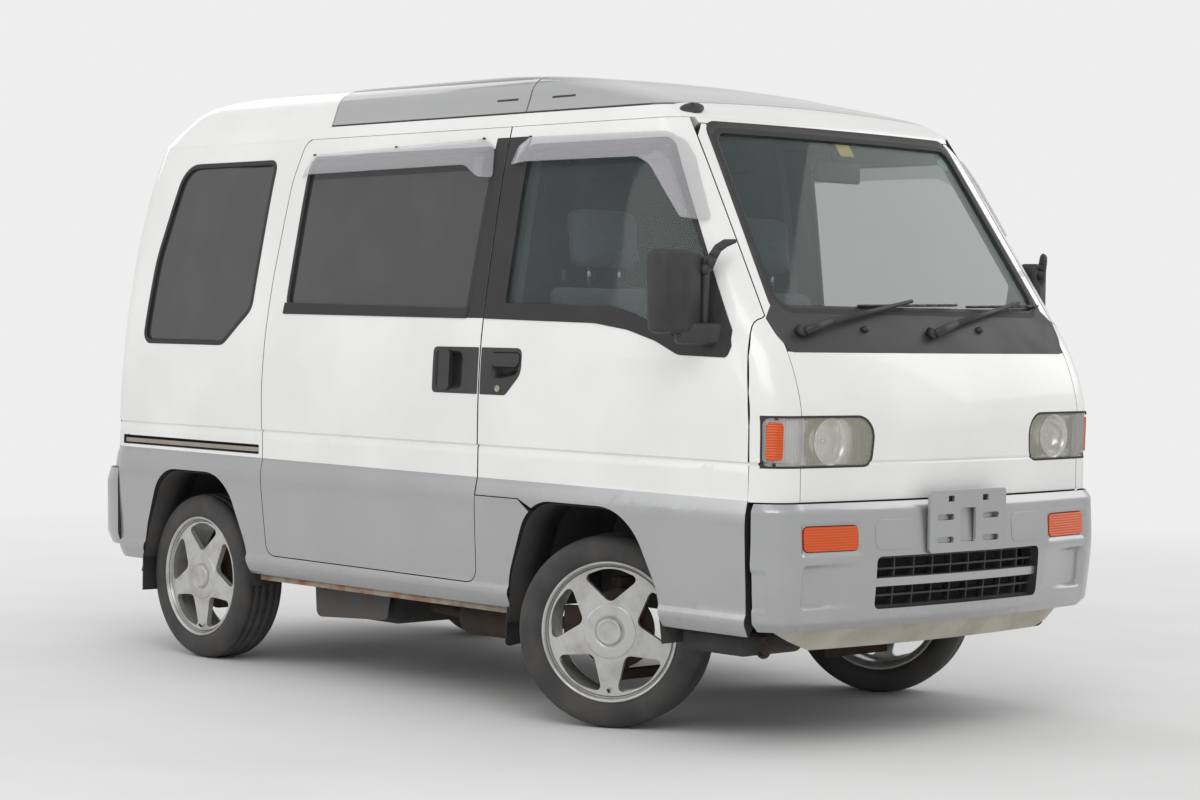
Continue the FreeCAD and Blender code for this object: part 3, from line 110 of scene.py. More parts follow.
def arc_points(corner: Vector, back: Vector, ahead: Vector, radius: float) -> list[Point]:
    """Points of the tangent arc that rounds one corner.

    Args:
        corner: The corner itself.
        back: From the corner to the point before it.
        ahead: From the corner to the point after it.
        radius: Wanted radius, cut down where the runs are short.

    Returns:
        Points along the arc, first to last.
    """
    half_angle = back.angle(ahead) / 2
    reach = min(radius / math.tan(half_angle), 0.49 * min(back.length, ahead.length))
    radius = reach * math.tan(half_angle)
    start = corner + back.normalized() * reach
    end = corner + ahead.normalized() * reach
    middle = (back.normalized() + ahead.normalized()).normalized()
    centre = corner + middle * (radius / math.sin(half_angle))
    sweep = math.pi - 2 * half_angle
    steps = max(2, min(12, int(radius * sweep / 8)))
    first = start - centre
    last = end - centre
    turn = 1 if first.x * last.y - first.y * last.x > 0 else -1
    points = []
    for i in range(steps + 1):
        angle = turn * sweep * i / steps
        x = first.x * math.cos(angle) - first.y * math.sin(angle)
        y = first.x * math.sin(angle) + first.y * math.cos(angle)
        points.append((centre.x + x, centre.y + y))
    return points


def rounded(rows: list[Row] | Rows) -> list[Point]:
    """A closed outline's points, each corner rounded by the radius in its row."""
    points: list[Point] = []
    count = len(rows)
    for i, (a, b, radius) in enumerate(rows):
        corner = Vector((a, b))
        back = Vector(rows[i - 1][:2]) - corner
        ahead = Vector(rows[(i + 1) % count][:2]) - corner
        if radius <= 0 or abs(math.pi - back.angle(ahead)) < 0.01:
            points.append((a, b))
        else:
            points += arc_points(corner, back, ahead, radius)
    return points


def rectangle(a0: float, a1: float, b0: float, b1: float, radius: float) -> list[Point]:
    """Outline of an upright rectangle with rounded corners."""
    return rounded([(a0, b0, radius), (a1, b0, radius), (a1, b1, radius), (a0, b1, radius)])


def grown(points: list[Point], gap: float) -> list[Point]:
    """A closed outline moved outwards by a gap, or inwards by a negative one."""
    area = sum(p[0] * q[1] - q[0] * p[1] for p, q in zip(points, points[1:] + points[:1]))
    side = 1 if area > 0 else -1
    moved = []
    for i, (a, b) in enumerate(points):
        before = Vector((a - points[i - 1][0], b - points[i - 1][1]))
        after_point = points[(i + 1) % len(points)]
        after = Vector((after_point[0] - a, after_point[1] - b))
        before = before.normalized() if before.length > 0 else after.normalized()
        after = after.normalized() if after.length > 0 else before
        normal = Vector((before.y + after.y, -before.x - after.x))
        if normal.length < 1e-6:
            normal = Vector((before.y, -before.x))
        normal.normalize()
        stretch = max(0.5, normal.dot(Vector((before.y, -before.x))))
        moved.append((a + side * normal.x * gap / stretch, b + side * normal.y * gap / stretch))
    return moved


def flipped(points: list[Point]) -> list[Point]:
    """An outline on the other side of a = 0."""
    return [(-a, b) for a, b in points]


def circle(radius: float, count: int) -> list[Point]:
    """Points round a circle about the origin."""
    turns = [2 * math.pi * i / count for i in range(count)]
    return [(radius * math.cos(turn), radius * math.sin(turn)) for turn in turns]


def eased(share: float) -> float:
    """A share from 0 to 1 that starts and ends smoothly."""
    share = min(share, 1)
    return share * share * (3 - 2 * share)


# Surfaces through horizontal slices
# Columns: height, half width, front face, rear face, front corner radius, rear corner radius, crowns

BODY_ROWS = (
    (300, 672, -1563, 1560, 110, 170, 37, 25),
    (322, 688, -1563, 1561, 110, 170, 37, 25),
    (342, 694, -1563, 1562, 110, 170, 37, 25),
    (354, 694, -1563, 1562, 110, 170, 37, 25),
    (366, 688.5, -1563, 1563, 110, 170, 37, 25),
    (430, 691, -1563, 1565, 110, 170, 37, 25),
    (520, 696, -1563, 1570, 110, 170, 37, 25),
    (628, 697.5, -1563, 1572, 110, 175, 37, 28),
    (652, 692, -1563, 1572, 110, 175, 37, 28),
    (664, 689, -1563, 1571, 110, 180, 37, 30),
    (751, 688.5, -1563, 1568, 110, 180, 37, 30),
    (754, 685.5, -1560, 1566, 110, 180, 37, 30),
    (757, 685.5, -1560, 1566, 110, 180, 37, 30),
    (761, 692, -1563, 1568, 110, 180, 37, 30),
    (900, 691, -1561, 1558, 110, 180, 37, 30),
    (1040, 684, -1512, 1548, 105, 180, 40, 30),
    (1122, 675, -1459, 1544, 96, 175, 42, 30),
    (1344, 641, -1315, 1527, 80, 165, 42, 30),
    (1560, 603, -1175, 1484, 70, 150, 40, 28),
    (1677, 575, -1099, 1440, 64, 130, 38, 25),
)
ROOF_ROWS = (
    (1677, 575, -1099, 1440, 64, 130, 38, 25),
    (1700, 562, -1062, 1420, 70, 130, 40, 25),
    (1715, 554, -1035, 1406, 75, 130, 40, 25),
    (1750, 540, -901, 1364, 110, 140, 45, 30),
    (1785, 526, -735, 1311, 140, 150, 45, 35),
    (1812, 497, -600, 1221, 160, 160, 50, 40),
    (1832, 435, -410, 1066, 170, 170, 50, 50),
    (1845, 328, -180, 850, 150, 150, 40, 40),
    (1850.5, 180, 0, 600, 100, 100, 20, 20),
    (1851.8, 60, 150, 450, 50, 50, 5, 5),
)
FRONT_BUMPER_ROWS = (
    (322, 672, -1562, 0, 110, 100, 42, 0),
    (345, 688, -1580, 0, 110, 100, 45, 0),
    (500, 697, -1590, 0, 110, 100, 46, 0),
    (635, 697, -1585, 0, 110, 100, 44, 0),
    (655, 692, -1570, 0, 110, 100, 42, 0),
)
REAR_BUMPER_ROWS = (
    (342, 680, 0, 1612, 100, 170, 0, 16),
    (380, 694, 0, 1627, 100, 175, 0, 20),
    (560, 697, 0, 1627, 100, 175, 0, 20.5),
    (600, 694, 0, 1606, 100, 170, 0, 18),
)
VALANCE_ROWS = (
    (262, 585, -1500, 0, 110, 100, 34, 0),
    (322, 600, -1545, 0, 110, 100, 38, 0),
)


@dataclass(frozen=True)
class Skin:
    """A smooth surface through horizontal slices, with a crease kept at each height in creases."""

    rows: tuple[tuple[float, ...], ...]
    creases: tuple[float, ...] = ()

    def section(self, z: float) -> list[float]:
        """Half width, faces, radii and crowns at a height, clamped to the first and last row."""
        rows = self.rows
        z = min(max(z, rows[0][0]), rows[-1][0])
        i = 0
        while i < len(rows) - 2 and z > rows[i + 1][0]:
            i += 1
        low = rows[i]
        high = rows[i + 1]
        width = high[0] - low[0]
        t = (z - low[0]) / width
        values = []
        for k in range(1, 8):
            slope = (high[k] - low[k]) / width
            start = slope
            end = slope
            if i > 0 and low[0] not in self.creases:
                start = (slope + (low[k] - rows[i - 1][k]) / (low[0] - rows[i - 1][0])) / 2
            if i < len(rows) - 2 and high[0] not in self.creases:
                end = (slope + (rows[i + 2][k] - high[k]) / (rows[i + 2][0] - high[0])) / 2
            values.append(low[k] * (2 * t ** 3 - 3 * t ** 2 + 1) + start * width * (t ** 3 - 2 * t ** 2 + t)
                          + high[k] * (3 * t ** 2 - 2 * t ** 3) + end * width * (t ** 3 - t ** 2))
        return values

    def corner(self, end: End, z: float) -> tuple[float, float, float, float]:
        """Half width of the flat, corner radius, Y of its centre and crown at one end, at a height."""
        half, front, rear, front_radius, rear_radius, front_crown, rear_crown = self.section(z)
        if end is End.NOSE:
            return half - front_radius, front_radius, front + front_radius, front_crown
        return half - rear_radius, rear_radius, rear - rear_radius, rear_crown

    def around(self, end: End, b: float, z: float, inset: float = 0) -> Point:
        """Place on the skin, as (x, y), at a distance b round it from the middle of an end."""
        flat, radius, centre_y, crown = self.corner(end, z)
        sign = -1 if b < 0 else 1
        inner = max(radius - inset, 1)
        if abs(b) <= flat:
            return b, centre_y + end.value * (inner + crown * (1 - (b / flat) ** 2))
        angle = (abs(b) - flat) / radius
        if angle <= HALF_TURN:
            return sign * (flat + inner * math.sin(angle)), centre_y + end.value * inner * math.cos(angle)
        return sign * (flat + inner), centre_y - end.value * (abs(b) - flat - radius * HALF_TURN)

    def from_side(self, a: float, z: float, inset: float = 0) -> Point:
        """Place on the right side, as (x, y), at a distance a along it, running round both corners."""
        half, front, rear, front_radius, rear_radius, _, _ = self.section(z)
        if a < front + front_radius:
            return self.around(End.NOSE, -self.round_of_side(End.NOSE, a, z), z, inset)
        if a > rear - rear_radius:
            return self.around(End.TAIL, -self.round_of_side(End.TAIL, a, z), z, inset)
        return -(half - inset), a

    def round_of_side(self, end: End, a: float, z: float) -> float:
        """Distance round from the middle of an end for a distance along the side."""
        flat, radius, centre_y, _ = self.corner(end, z)
        return flat + radius * HALF_TURN - end.value * (a - centre_y)

    def side_of_x(self, end: End, x: float, z: float) -> float:
        """Distance along the side for a half width x on the corner of an end."""
        flat, radius, centre_y, _ = self.corner(end, z)
        angle = math.asin(min(max((x - flat) / radius, -1), 1))
        return centre_y - end.value * radius * (angle - HALF_TURN)

    def round_of_y(self, end: End, y: float, z: float) -> float:
        """Distance round from the middle of an end at which its corner reaches y."""
        flat, radius, centre_y, _ = self.corner(end, z)
        depth = end.value * (y - centre_y) / radius
        if depth <= 0:
            return flat + radius * HALF_TURN - depth * radius
        return flat + radius * math.acos(min(depth, 1))

    def ring(self, z: float, inset: float = 0) -> list[Vector]:
        """One whole slice as points, as many at each height."""
        half, front, rear, front_radius, rear_radius, _, _ = self.section(z)
        nose = half - front_radius
        tail = half - rear_radius
        nose_side = nose + front_radius * HALF_TURN
        tail_side = tail + rear_radius * HALF_TURN
        low = front + front_radius
        high = rear - rear_radius
        points = []
        for start, stop, count, end in (
            (-nose, nose, 28, End.NOSE), (nose, nose_side, 10, End.NOSE), (low, high, 48, 1),
            (tail_side, tail, 10, End.TAIL), (tail, -tail, 28, End.TAIL), (-tail, -tail_side, 10, End.TAIL),
            (high, low, 48, -1), (-nose_side, -nose, 10, End.NOSE),
        ):
            for i in range(count):
                at = start + (stop - start) * (i / count)
                x, y = self.around(end, at, z, inset) if isinstance(end, End) else ((half - inset) * end, at)
                points.append(Vector((x, y, z - inset)) * MM)
        return points


BODY = Skin(BODY_ROWS, (342, 354, 366, 664, 751, 754, 757, 761))
ROOF = Skin(ROOF_ROWS)
FRONT_BUMPER = Skin(FRONT_BUMPER_ROWS, (345, 635))
REAR_BUMPER = Skin(REAR_BUMPER_ROWS, (380, 560))
VALANCE = Skin(VALANCE_ROWS)


def on_front(skin: Skin, inset: float = 0) -> Place:
    """Lays a front outline on a skin, set in by an inset."""
    return lambda b, z: Vector((*skin.around(End.NOSE, b, z, inset), z)) * MM


def on_rear(skin: Skin, inset: float = 0) -> Place:
    """Lays a rear outline on a skin, set in by an inset."""
    return lambda b, z: Vector((*skin.around(End.TAIL, b, z, inset), z)) * MM


def on_side(skin: Skin, side: Side, inset: float = 0) -> Place:
    """Lays a side outline on one side of a skin, set in by an inset."""
    def place(a: float, z: float) -> Vector:
        """Place of one point of the outline."""
        x, y = skin.from_side(a, z, inset)
        return Vector((-side.value * x, y, z)) * MM
    return place


# Finishes


class Nodes:
    """Short calls that build one material's node tree on Object coordinates."""

    def __init__(self, name: str) -> None:
        """Start an empty material with its shader and output."""
        self.material = bpy.data.materials.new(name)
        self.material.use_nodes = True
        self.tree = self.material.node_tree
        self.shader = self.tree.nodes["Principled BSDF"]
        self.coordinates = self.tree.nodes.new("ShaderNodeTexCoord").outputs["Object"]

    def add(self, kind: str, **settings: object) -> bpy.types.Node:
        """Add a node and set its plain properties."""
        node = self.tree.nodes.new(kind)
        for key, value in settings.items():
            setattr(node, key, value)
        return node

    def link(self, out: Socket, into: Socket) -> None:
        """Join two sockets."""
        self.tree.links.new(out, into)

    def noise(self, scale: float, detail: float = 4, stretch: tuple[float, float, float] = (1, 1, 1),
              contrast: tuple[float, float] = (0.35, 0.65)) -> Socket:
        """A fractal noise, spread over 0 to 1 between two values of its own."""
        mapping = self.add("ShaderNodeMapping")
        mapping.inputs["Scale"].default_value = stretch
        self.link(self.coordinates, mapping.inputs["Vector"])
        noise = self.add("ShaderNodeTexNoise")
        noise.inputs["Scale"].default_value = scale
        noise.inputs["Detail"].default_value = detail
        self.link(mapping.outputs["Vector"], noise.inputs["Vector"])
        return self.spread(noise.outputs["Fac"], contrast[0], contrast[1], 0, 1)

    def spread(self, value: Socket, low: float, high: float, to_low: float,
               to_high: float) -> Socket:
        """A value mapped from one range to another, and clamped."""
        node = self.add("ShaderNodeMapRange")
        for socket, number in zip(node.inputs[1:5], (low, high, to_low, to_high)):
            socket.default_value = number
        self.link(value, node.inputs[0])
        return node.outputs[0]

    def height(self, low: float, high: float) -> Socket:
        """1 at and under a low height in millimetres, fading to 0 at a high one."""
        split = self.add("ShaderNodeSeparateXYZ")
        self.link(self.coordinates, split.inputs[0])
        return self.spread(split.outputs["Z"], low * MM, high * MM, 1, 0)

    def times(self, one: Socket, other: Socket | float) -> Socket:
        """Product of two values."""
        node = self.add("ShaderNodeMath", operation="MULTIPLY")
        self.link(one, node.inputs[0])
        if isinstance(other, (int, float)):
            node.inputs[1].default_value = other
        else:
            self.link(other, node.inputs[1])
        return node.outputs[0]

    def mix(self, share: Socket, low: object, high: object) -> Socket:
        """Colour between two colours or colour sockets."""
        node = self.add("ShaderNodeMix", data_type="RGBA")
        self.link(share, node.inputs[0])
        for socket, colour in ((node.inputs[6], low), (node.inputs[7], high)):
            if isinstance(colour, tuple):
                socket.default_value = (*colour, 1)
            else:
                self.link(colour, socket)
        return node.outputs[2]

    def bump(self, value: Socket, distance: float, strength: float = 1) -> None:
        """Raise the surface by a value times a distance in metres."""
        node = self.add("ShaderNodeBump")
        node.inputs["Strength"].default_value = strength
        node.inputs["Distance"].default_value = distance
        self.link(value, node.inputs["Height"])
        self.link(node.outputs["Normal"], self.shader.inputs["Normal"])

    def set(self, **values: float) -> None:
        """Set the shader's own sockets, their spaces written as underscores."""
        for key, value in values.items():
            self.shader.inputs[key.replace("_", " ")].default_value = value


@dataclass(frozen=True)
class Paint:
    """Sprayed and lacquered sheet metal with road film towards its bottom edge."""

    name: str
    colour: Colour
    metallic: float = 0
    roughness: float = 0.28
    coat: float = 0.6
    film: Colour = (0.30, 0.27, 0.23)
    film_top: float = 470
    flake: float = 0

    def make(self) -> Material:
        """Build the material."""
        n = Nodes(self.name)
        cloud = n.noise(3, 5)
        shade = tuple(c * 0.93 for c in self.colour)
        base = n.mix(cloud, self.colour, shade)
        if self.flake > 0:
            grain = n.noise(1800, 1, contrast=(0.3, 0.7))
            base = n.mix(n.times(grain, self.flake), base, tuple(min(c * 1.5, 1) for c in self.colour))
        spray = n.noise(60, 9, contrast=(0.3, 0.85))
        dirt = n.times(n.times(n.height(270, self.film_top), spray), 0.32)
        n.link(n.mix(dirt, base, self.film), n.shader.inputs["Base Color"])
        rough = n.spread(dirt, 0, 0.6, self.roughness, 0.75)
        n.link(rough, n.shader.inputs["Roughness"])
        n.bump(n.noise(900, 2), 0.00002, 0.35)
        n.set(Metallic=self.metallic, Coat_Weight=self.coat, Coat_Roughness=0.06)
        return n.material


@dataclass(frozen=True)
class Moulded:
    """Grained plastic, rubber or cast metal, with patches of a worn colour."""

    name: str
    colour: Colour
    worn: Colour
    roughness: float = 0.55
    metallic: float = 0
    grain: float = 700
    depth: float = 0.00008
    patches: float = 9
    patch_share: float = 0.5

    def make(self) -> Material:
        """Build the material."""
        n = Nodes(self.name)
        cloud = n.noise(self.patches, 7, contrast=(0.40, 0.72))
        n.link(n.mix(n.times(cloud, self.patch_share), self.colour, self.worn), n.shader.inputs["Base Color"])
        n.link(n.spread(cloud, 0, 1, self.roughness, min(self.roughness + 0.2, 1)),
               n.shader.inputs["Roughness"])
        n.bump(n.noise(self.grain, 3), self.depth, 0.6)
        n.set(Metallic=self.metallic)
        return n.material


@dataclass(frozen=True)
class Glazing:
    """Window glass that shows what is behind it, darker the more it is tinted."""

    name: str
    tint: Colour
    cover: float
    edge_cover: float = 0.9
    film: float = 0.10

    def make(self) -> Material:
        """Build the material."""
        n = Nodes(self.name)
        smear = n.noise(7, 6, contrast=(0.45, 0.8))
        n.link(n.mix(n.times(smear, self.film), self.tint, (0.55, 0.56, 0.55)), n.shader.inputs["Base Color"])
        n.link(n.spread(smear, 0, 1, 0.015, 0.09), n.shader.inputs["Roughness"])
        weight = n.add("ShaderNodeLayerWeight")
        weight.inputs["Blend"].default_value = 0.25
        cover = n.spread(weight.outputs["Facing"], 0, 0.9, self.cover, self.edge_cover)
        n.link(cover, n.shader.inputs["Alpha"])
        n.set(IOR=1.5, Specular_IOR_Level=0.9)
        return n.material


@dataclass(frozen=True)
class RoofGlazing:
    """Roof glass, pale grey towards its lower edges and dark and clear over the top, split by height."""

    name: str = "roof_glass"
    print_grey: Colour = (0.40, 0.402, 0.405)
    top: Colour = (0.035, 0.04, 0.045)
    print_z: float = 1795
    fade: float = 20

    def make(self) -> Material:
        """Build the material."""
        n = Nodes(self.name)
        # Pale grey under the given height and dark above it, a colour set by height alone.
        low = n.height(self.print_z, self.print_z + self.fade)
        smear = n.noise(5, 6, contrast=(0.45, 0.8))
        base = n.mix(low, self.top, self.print_grey)
        n.link(n.mix(n.times(smear, 0.12), base, (0.5, 0.5, 0.5)), n.shader.inputs["Base Color"])
        n.link(n.spread(smear, 0, 1, 0.05, 0.16), n.shader.inputs["Roughness"])
        n.link(n.spread(low, 0, 1, 0.9, 1), n.shader.inputs["Alpha"])
        n.set(IOR=1.5, Coat_Weight=0.5)
        return n.material


@dataclass(frozen=True)
class Lens:
    """Moulded lamp lens with flutes across it."""

    name: str
    colour: Colour
    cover: float
    pitch: float = 38
    depth: float = 0.0012
    upright: bool = True

    def make(self) -> Material:
        """Build the material."""
        n = Nodes(self.name)
        haze = n.noise(11, 5)
        wave = n.add("ShaderNodeTexWave", bands_direction="X" if self.upright else "Z")
        wave.inputs["Scale"].default_value = self.pitch
        n.link(n.coordinates, wave.inputs["Vector"])
        flutes = n.mix(wave.outputs["Fac"], tuple(c * 0.70 for c in self.colour), self.colour)
        n.link(n.mix(n.times(haze, 0.30), flutes, tuple(c * 0.75 for c in self.colour)),
               n.shader.inputs["Base Color"])
        n.bump(wave.outputs["Fac"], self.depth, 0.8)
        n.link(n.spread(haze, 0, 1, 0.04, 0.12), n.shader.inputs["Roughness"])
        n.set(Alpha=self.cover, IOR=1.5, Specular_IOR_Level=0.5, Coat_Weight=0.2)
        return n.material


@dataclass(frozen=True)
class Alloy:
    """Painted cast wheel with brake dust."""

    name: str = "wheel_alloy"
    colour: Colour = (0.55, 0.55, 0.54)
    dust: Colour = (0.20, 0.16, 0.13)

    def make(self) -> Material:
        """Build the material."""
        n = Nodes(self.name)
        cloud = n.noise(16, 8, contrast=(0.45, 0.8))
        scratch = n.noise(60, 6, stretch=(1, 6, 1), contrast=(0.55, 0.8))
        base = n.mix(n.times(cloud, 0.55), self.colour, self.dust)
        n.link(n.mix(n.times(scratch, 0.25), base, (0.75, 0.75, 0.74)), n.shader.inputs["Base Color"])
        n.link(n.spread(cloud, 0, 1, 0.30, 0.6), n.shader.inputs["Roughness"])
        n.bump(n.noise(500, 3), 0.00006, 0.4)
        n.set(Metallic=0.55, Coat_Weight=0.2)
        return n.material


@dataclass(frozen=True)
class Tread:
    """Tyre rubber with paler patches of dust."""

    name: str = "tyre_rubber"
    colour: Colour = (0.030, 0.030, 0.031)
    dust: Colour = (0.13, 0.12, 0.11)

    def make(self) -> Material:
        """Build the material."""
        n = Nodes(self.name)
        cloud = n.noise(10, 7, contrast=(0.35, 0.8))
        n.link(n.mix(n.times(cloud, 0.6), self.colour, self.dust), n.shader.inputs["Base Color"])
        n.link(n.spread(cloud, 0, 1, 0.62, 0.9), n.shader.inputs["Roughness"])
        n.bump(n.noise(350, 3), 0.00015, 0.5)
        return n.material


@dataclass(frozen=True)
class Cloth:
    """Woven seat cloth, its threads as fine crossed waves."""

    name: str
    colour: Colour
    fleck: Colour
    thread: float = 4

    def make(self) -> Material:
        """Build the material."""
        n = Nodes(self.name)
        waves = []
        for direction in ("X", "Z", "Y"):
            wave = n.add("ShaderNodeTexWave", bands_direction=direction)
            wave.inputs["Scale"].default_value = 0.314 / (self.thread * MM)
            wave.inputs["Distortion"].default_value = 1.5
            n.link(n.coordinates, wave.inputs["Vector"])
            waves.append(wave.outputs["Fac"])
        weave = n.times(n.times(waves[0], waves[1]), waves[2])
        speck = n.noise(240, 2, contrast=(0.5, 0.7))
        base = n.mix(weave, tuple(c * 0.7 for c in self.colour), self.colour)
        n.link(n.mix(n.times(speck, 0.5), base, self.fleck), n.shader.inputs["Base Color"])
        n.bump(weave, 0.0006, 0.6)
        n.set(Roughness=0.9, Sheen_Weight=0.25)
        return n.material


class Finishes:
    """Every finish of the van, made once."""

    def __init__(self) -> None:
        """Make all the materials."""
        self.white = Paint("paint_white", (0.88, 0.88, 0.86)).make()
        self.silver = Paint("paint_silver", (0.41, 0.412, 0.418), metallic=0.6, roughness=0.30,
                            flake=0.3).make()
        self.black = Moulded("black_plastic", (0.025, 0.025, 0.027), (0.07, 0.07, 0.07), 0.45).make()
        self.rubber = Moulded("window_rubber", (0.018, 0.018, 0.02), (0.06, 0.06, 0.06), 0.6).make()
        self.trim = Moulded("inner_trim", (0.16, 0.175, 0.18), (0.22, 0.235, 0.24), 0.7).make()
        self.pillar_trim = Moulded("pillar_trim", (0.25, 0.33, 0.32), (0.33, 0.40, 0.39), 0.6).make()
        self.headliner = Moulded("headliner", (0.42, 0.42, 0.40), (0.50, 0.50, 0.48), 0.9).make()
        self.beige = Moulded("valance_beige", (0.52, 0.49, 0.42), (0.28, 0.24, 0.19), 0.6, grain=200).make()
        self.bracket = Moulded("bracket_grey", (0.50, 0.51, 0.52), (0.36, 0.36, 0.36), 0.4, 0.3).make()
        self.iron = Moulded("chassis_iron", (0.045, 0.040, 0.037), (0.12, 0.065, 0.04), 0.75, 0.3,
                            grain=150, depth=0.0004, patches=14, patch_share=0.9).make()
        self.engine = Moulded("engine_iron", (0.10, 0.10, 0.10), (0.16, 0.12, 0.09), 0.6, 0.4, 120).make()
        self.underbody = Moulded("underbody", (0.035, 0.035, 0.037), (0.10, 0.085, 0.07), 0.85,
                                 grain=90, depth=0.0005).make()
        self.rust = Moulded("rusty_flange", (0.45, 0.40, 0.32), (0.35, 0.13, 0.05), 0.7, patches=22,
                            patch_share=1).make()
        self.chrome = Moulded("reflector", (0.75, 0.75, 0.74), (0.55, 0.55, 0.53), 0.12, 0.9,
                              patch_share=0.3).make()
        self.clear = Glazing("clear_glass", (0.075, 0.105, 0.100), 0.17, 0.60, 0.05).make()
        self.dark = Glazing("dark_glass", (0.045, 0.046, 0.047), 0.92, 0.97, 0.03).make()
        self.roof_glass = RoofGlazing().make()
        self.smoke = Glazing("visor_smoke", (0.60, 0.585, 0.61), 0.24, 0.60, 0.10).make()
        self.lamp = Lens("lamp_lens", (0.86, 0.85, 0.72), 0.24, 30).make()
        self.marker_lens = Lens("marker_lens", (0.78, 0.76, 0.76), 0.38).make()
        self.rail = Moulded("rail_metal", (0.42, 0.38, 0.32), (0.25, 0.22, 0.18), 0.35, 0.8).make()
        # groove_shadow is painted shade: near-black on the panel rims in the seams, in the sliding rail's
        # groove and on the sheet behind the grille.
        self.groove = Moulded("groove_shadow", (0.02, 0.02, 0.02), (0.05, 0.045, 0.04), 0.8).make()
        self.amber = Lens("amber_lens", (0.83, 0.10, 0.002), 0.96, 45, upright=False).make()
        self.red = Lens("red_lens", (0.50, 0.02, 0.02), 0.96, upright=False).make()
        self.alloy = Alloy().make()
        self.tyre = Tread().make()
        self.cloth = Cloth("seat_cloth", (0.17, 0.19, 0.22), (0.32, 0.34, 0.37)).make()
        self.yellow = Moulded("sticker_yellow", (0.75, 0.62, 0.10), (0.7, 0.6, 0.2), 0.5).make()
        self.green = Moulded("sticker_green", (0.10, 0.45, 0.30), (0.15, 0.45, 0.30), 0.5).make()


# Pieces


SLOTS = {
    "window_rubber": "black_plastic", "groove_shadow": "black_plastic", "inner_trim": "interior_trim",
    "pillar_trim": "interior_trim", "sticker_yellow": "interior_trim", "sticker_green": "interior_trim",
    "visor_smoke": "dark_glass", "lamp_lens": "lamp_glass", "marker_lens": "lamp_glass",
    "reflector": "lamp_glass",
    "engine_iron": "chassis_iron", "rusty_flange": "paint_silver", "rail_metal": "alloy",
    "wheel_alloy": "alloy",
}


def cut(bm: BMesh, at: Row | Vector, normal: Row | Vector, near: float) -> None:
    """Cut a whole mesh along a plane, through vertices that lie near it."""
    bmesh.ops.bisect_plane(bm, geom=bm.verts[:] + bm.edges[:] + bm.faces[:], dist=near, plane_co=at,
                           plane_no=normal)


def sheet(outline: list[Point], place: Place, spacing: float = 26, reverse: bool = False,
          holes: list[list[Point]] | tuple[list[Point], ...] = (), levels: tuple[float, ...] = ()) -> BMesh:
    """A flat outline with holes, cut into a grid and laid on a surface.

    Args:
        outline: The outer edge.
        place: Gives each flat point its place, in metres.
        spacing: Width of the grid's squares.
        reverse: Turns the faces round, where the laid sheet would look inwards.
        holes: The edges of the holes.
        levels: Heights of creases, cut through as well.

    Returns:
        The laid sheet.
    """
    bm = bmesh.new()
    for loop in (outline, *holes):
        verts = [bm.verts.new((a, b, 0)) for a, b in loop]
        for one, other in zip(verts, verts[1:] + verts[:1]):
            bm.edges.new((one, other))
    bmesh.ops.remove_doubles(bm, verts=bm.verts[:], dist=0.05)
    bmesh.ops.triangle_fill(bm, use_beauty=True, use_dissolve=False, edges=bm.edges[:], normal=(0, 0, 1))
    for axis in (0, 1):
        values = [point[axis] for point in outline]
        cuts = [i * spacing for i in range(math.ceil(min(values) / spacing),
                                           math.ceil(max(values) / spacing))]
        cuts += [level for level in levels if axis == 1 and min(values) < level < max(values)]
        for value in cuts:
            cut(bm, (value, value, 0), (1 - axis, axis, 0), 0.01)
    for face in bm.faces:
        if (face.normal.z < 0) != reverse:
            face.normal_flip()
    for vert in bm.verts:
        vert.co = place(vert.co.x, vert.co.y)
    bm.normal_update()
    return bm


def side_sheet(side: Side, outline: list[Point], inset: float = 0, spacing: float = 26,
               holes: tuple[list[Point], ...] = (), levels: tuple[float, ...] = ()) -> BMesh:
    """A sheet laid on one side of the body, set in by an inset."""
    return sheet(outline, on_side(BODY, side, inset), spacing, side is Side.RIGHT, holes, levels)


def edge_distance(outline: list[Point], a: float, b: float, closed: bool = True) -> float:
    """Distance from a point to the nearest run of an outline."""
    point = Vector((a, b))
    ends = outline[1:] + (outline[:1] if closed else [])
    best = math.inf
    for start, end in zip(outline, ends):
        first = Vector(start)
        run = Vector(end) - first
        share = 0 if run.length == 0 else min(max((point - first).dot(run) / run.length_squared, 0), 1)
        best = min(best, (first + run * share - point).length)
    return best


def inside(outline: list[Point], a: float, b: float) -> bool:
    """Whether a point lies inside an outline."""
    found = False
    for (a0, b0), (a1, b1) in zip(outline, outline[1:] + outline[:1]):
        if (b0 > b) != (b1 > b) and a < a0 + (a1 - a0) * (b - b0) / (b1 - b0):
            found = not found
    return found


def bowl_mesh(outline: list[Point], surface: Callable[[float], Place], depth: float, run: float,
              spacing: float = 8, reverse: bool = False) -> BMesh:
    """A recess that starts flush at its outline.

    Args:
        outline: Edge of the recess.
        surface: Gives the laying of an outline at an inset.
        depth: Depth of the recess's floor.
        run: Width of the slope between the edge and the floor.
        spacing: Width of the grid's squares.
        reverse: Turns the faces round.

    Returns:
        The recess.
    """
    def place(a: float, b: float) -> Vector:
        """Place of one point, deeper away from the edge."""
        return surface(depth * eased(edge_distance(outline, a, b) / run))(a, b)
    return sheet(outline, place, spacing, reverse)


def split_two_tone(bm: BMesh) -> None:
    """Give the faces under the colour line the second material."""
    front = Vector((0, -1.5, 0.661))
    rear = Vector((0, 1.6, 0.675))
    normal = Vector((1, 0, 0)).cross(rear - front)
    cut(bm, front, normal, 0.0001)
    for face in bm.faces:
        face.material_index = int((face.calc_center_median() - front).dot(normal) < 0)


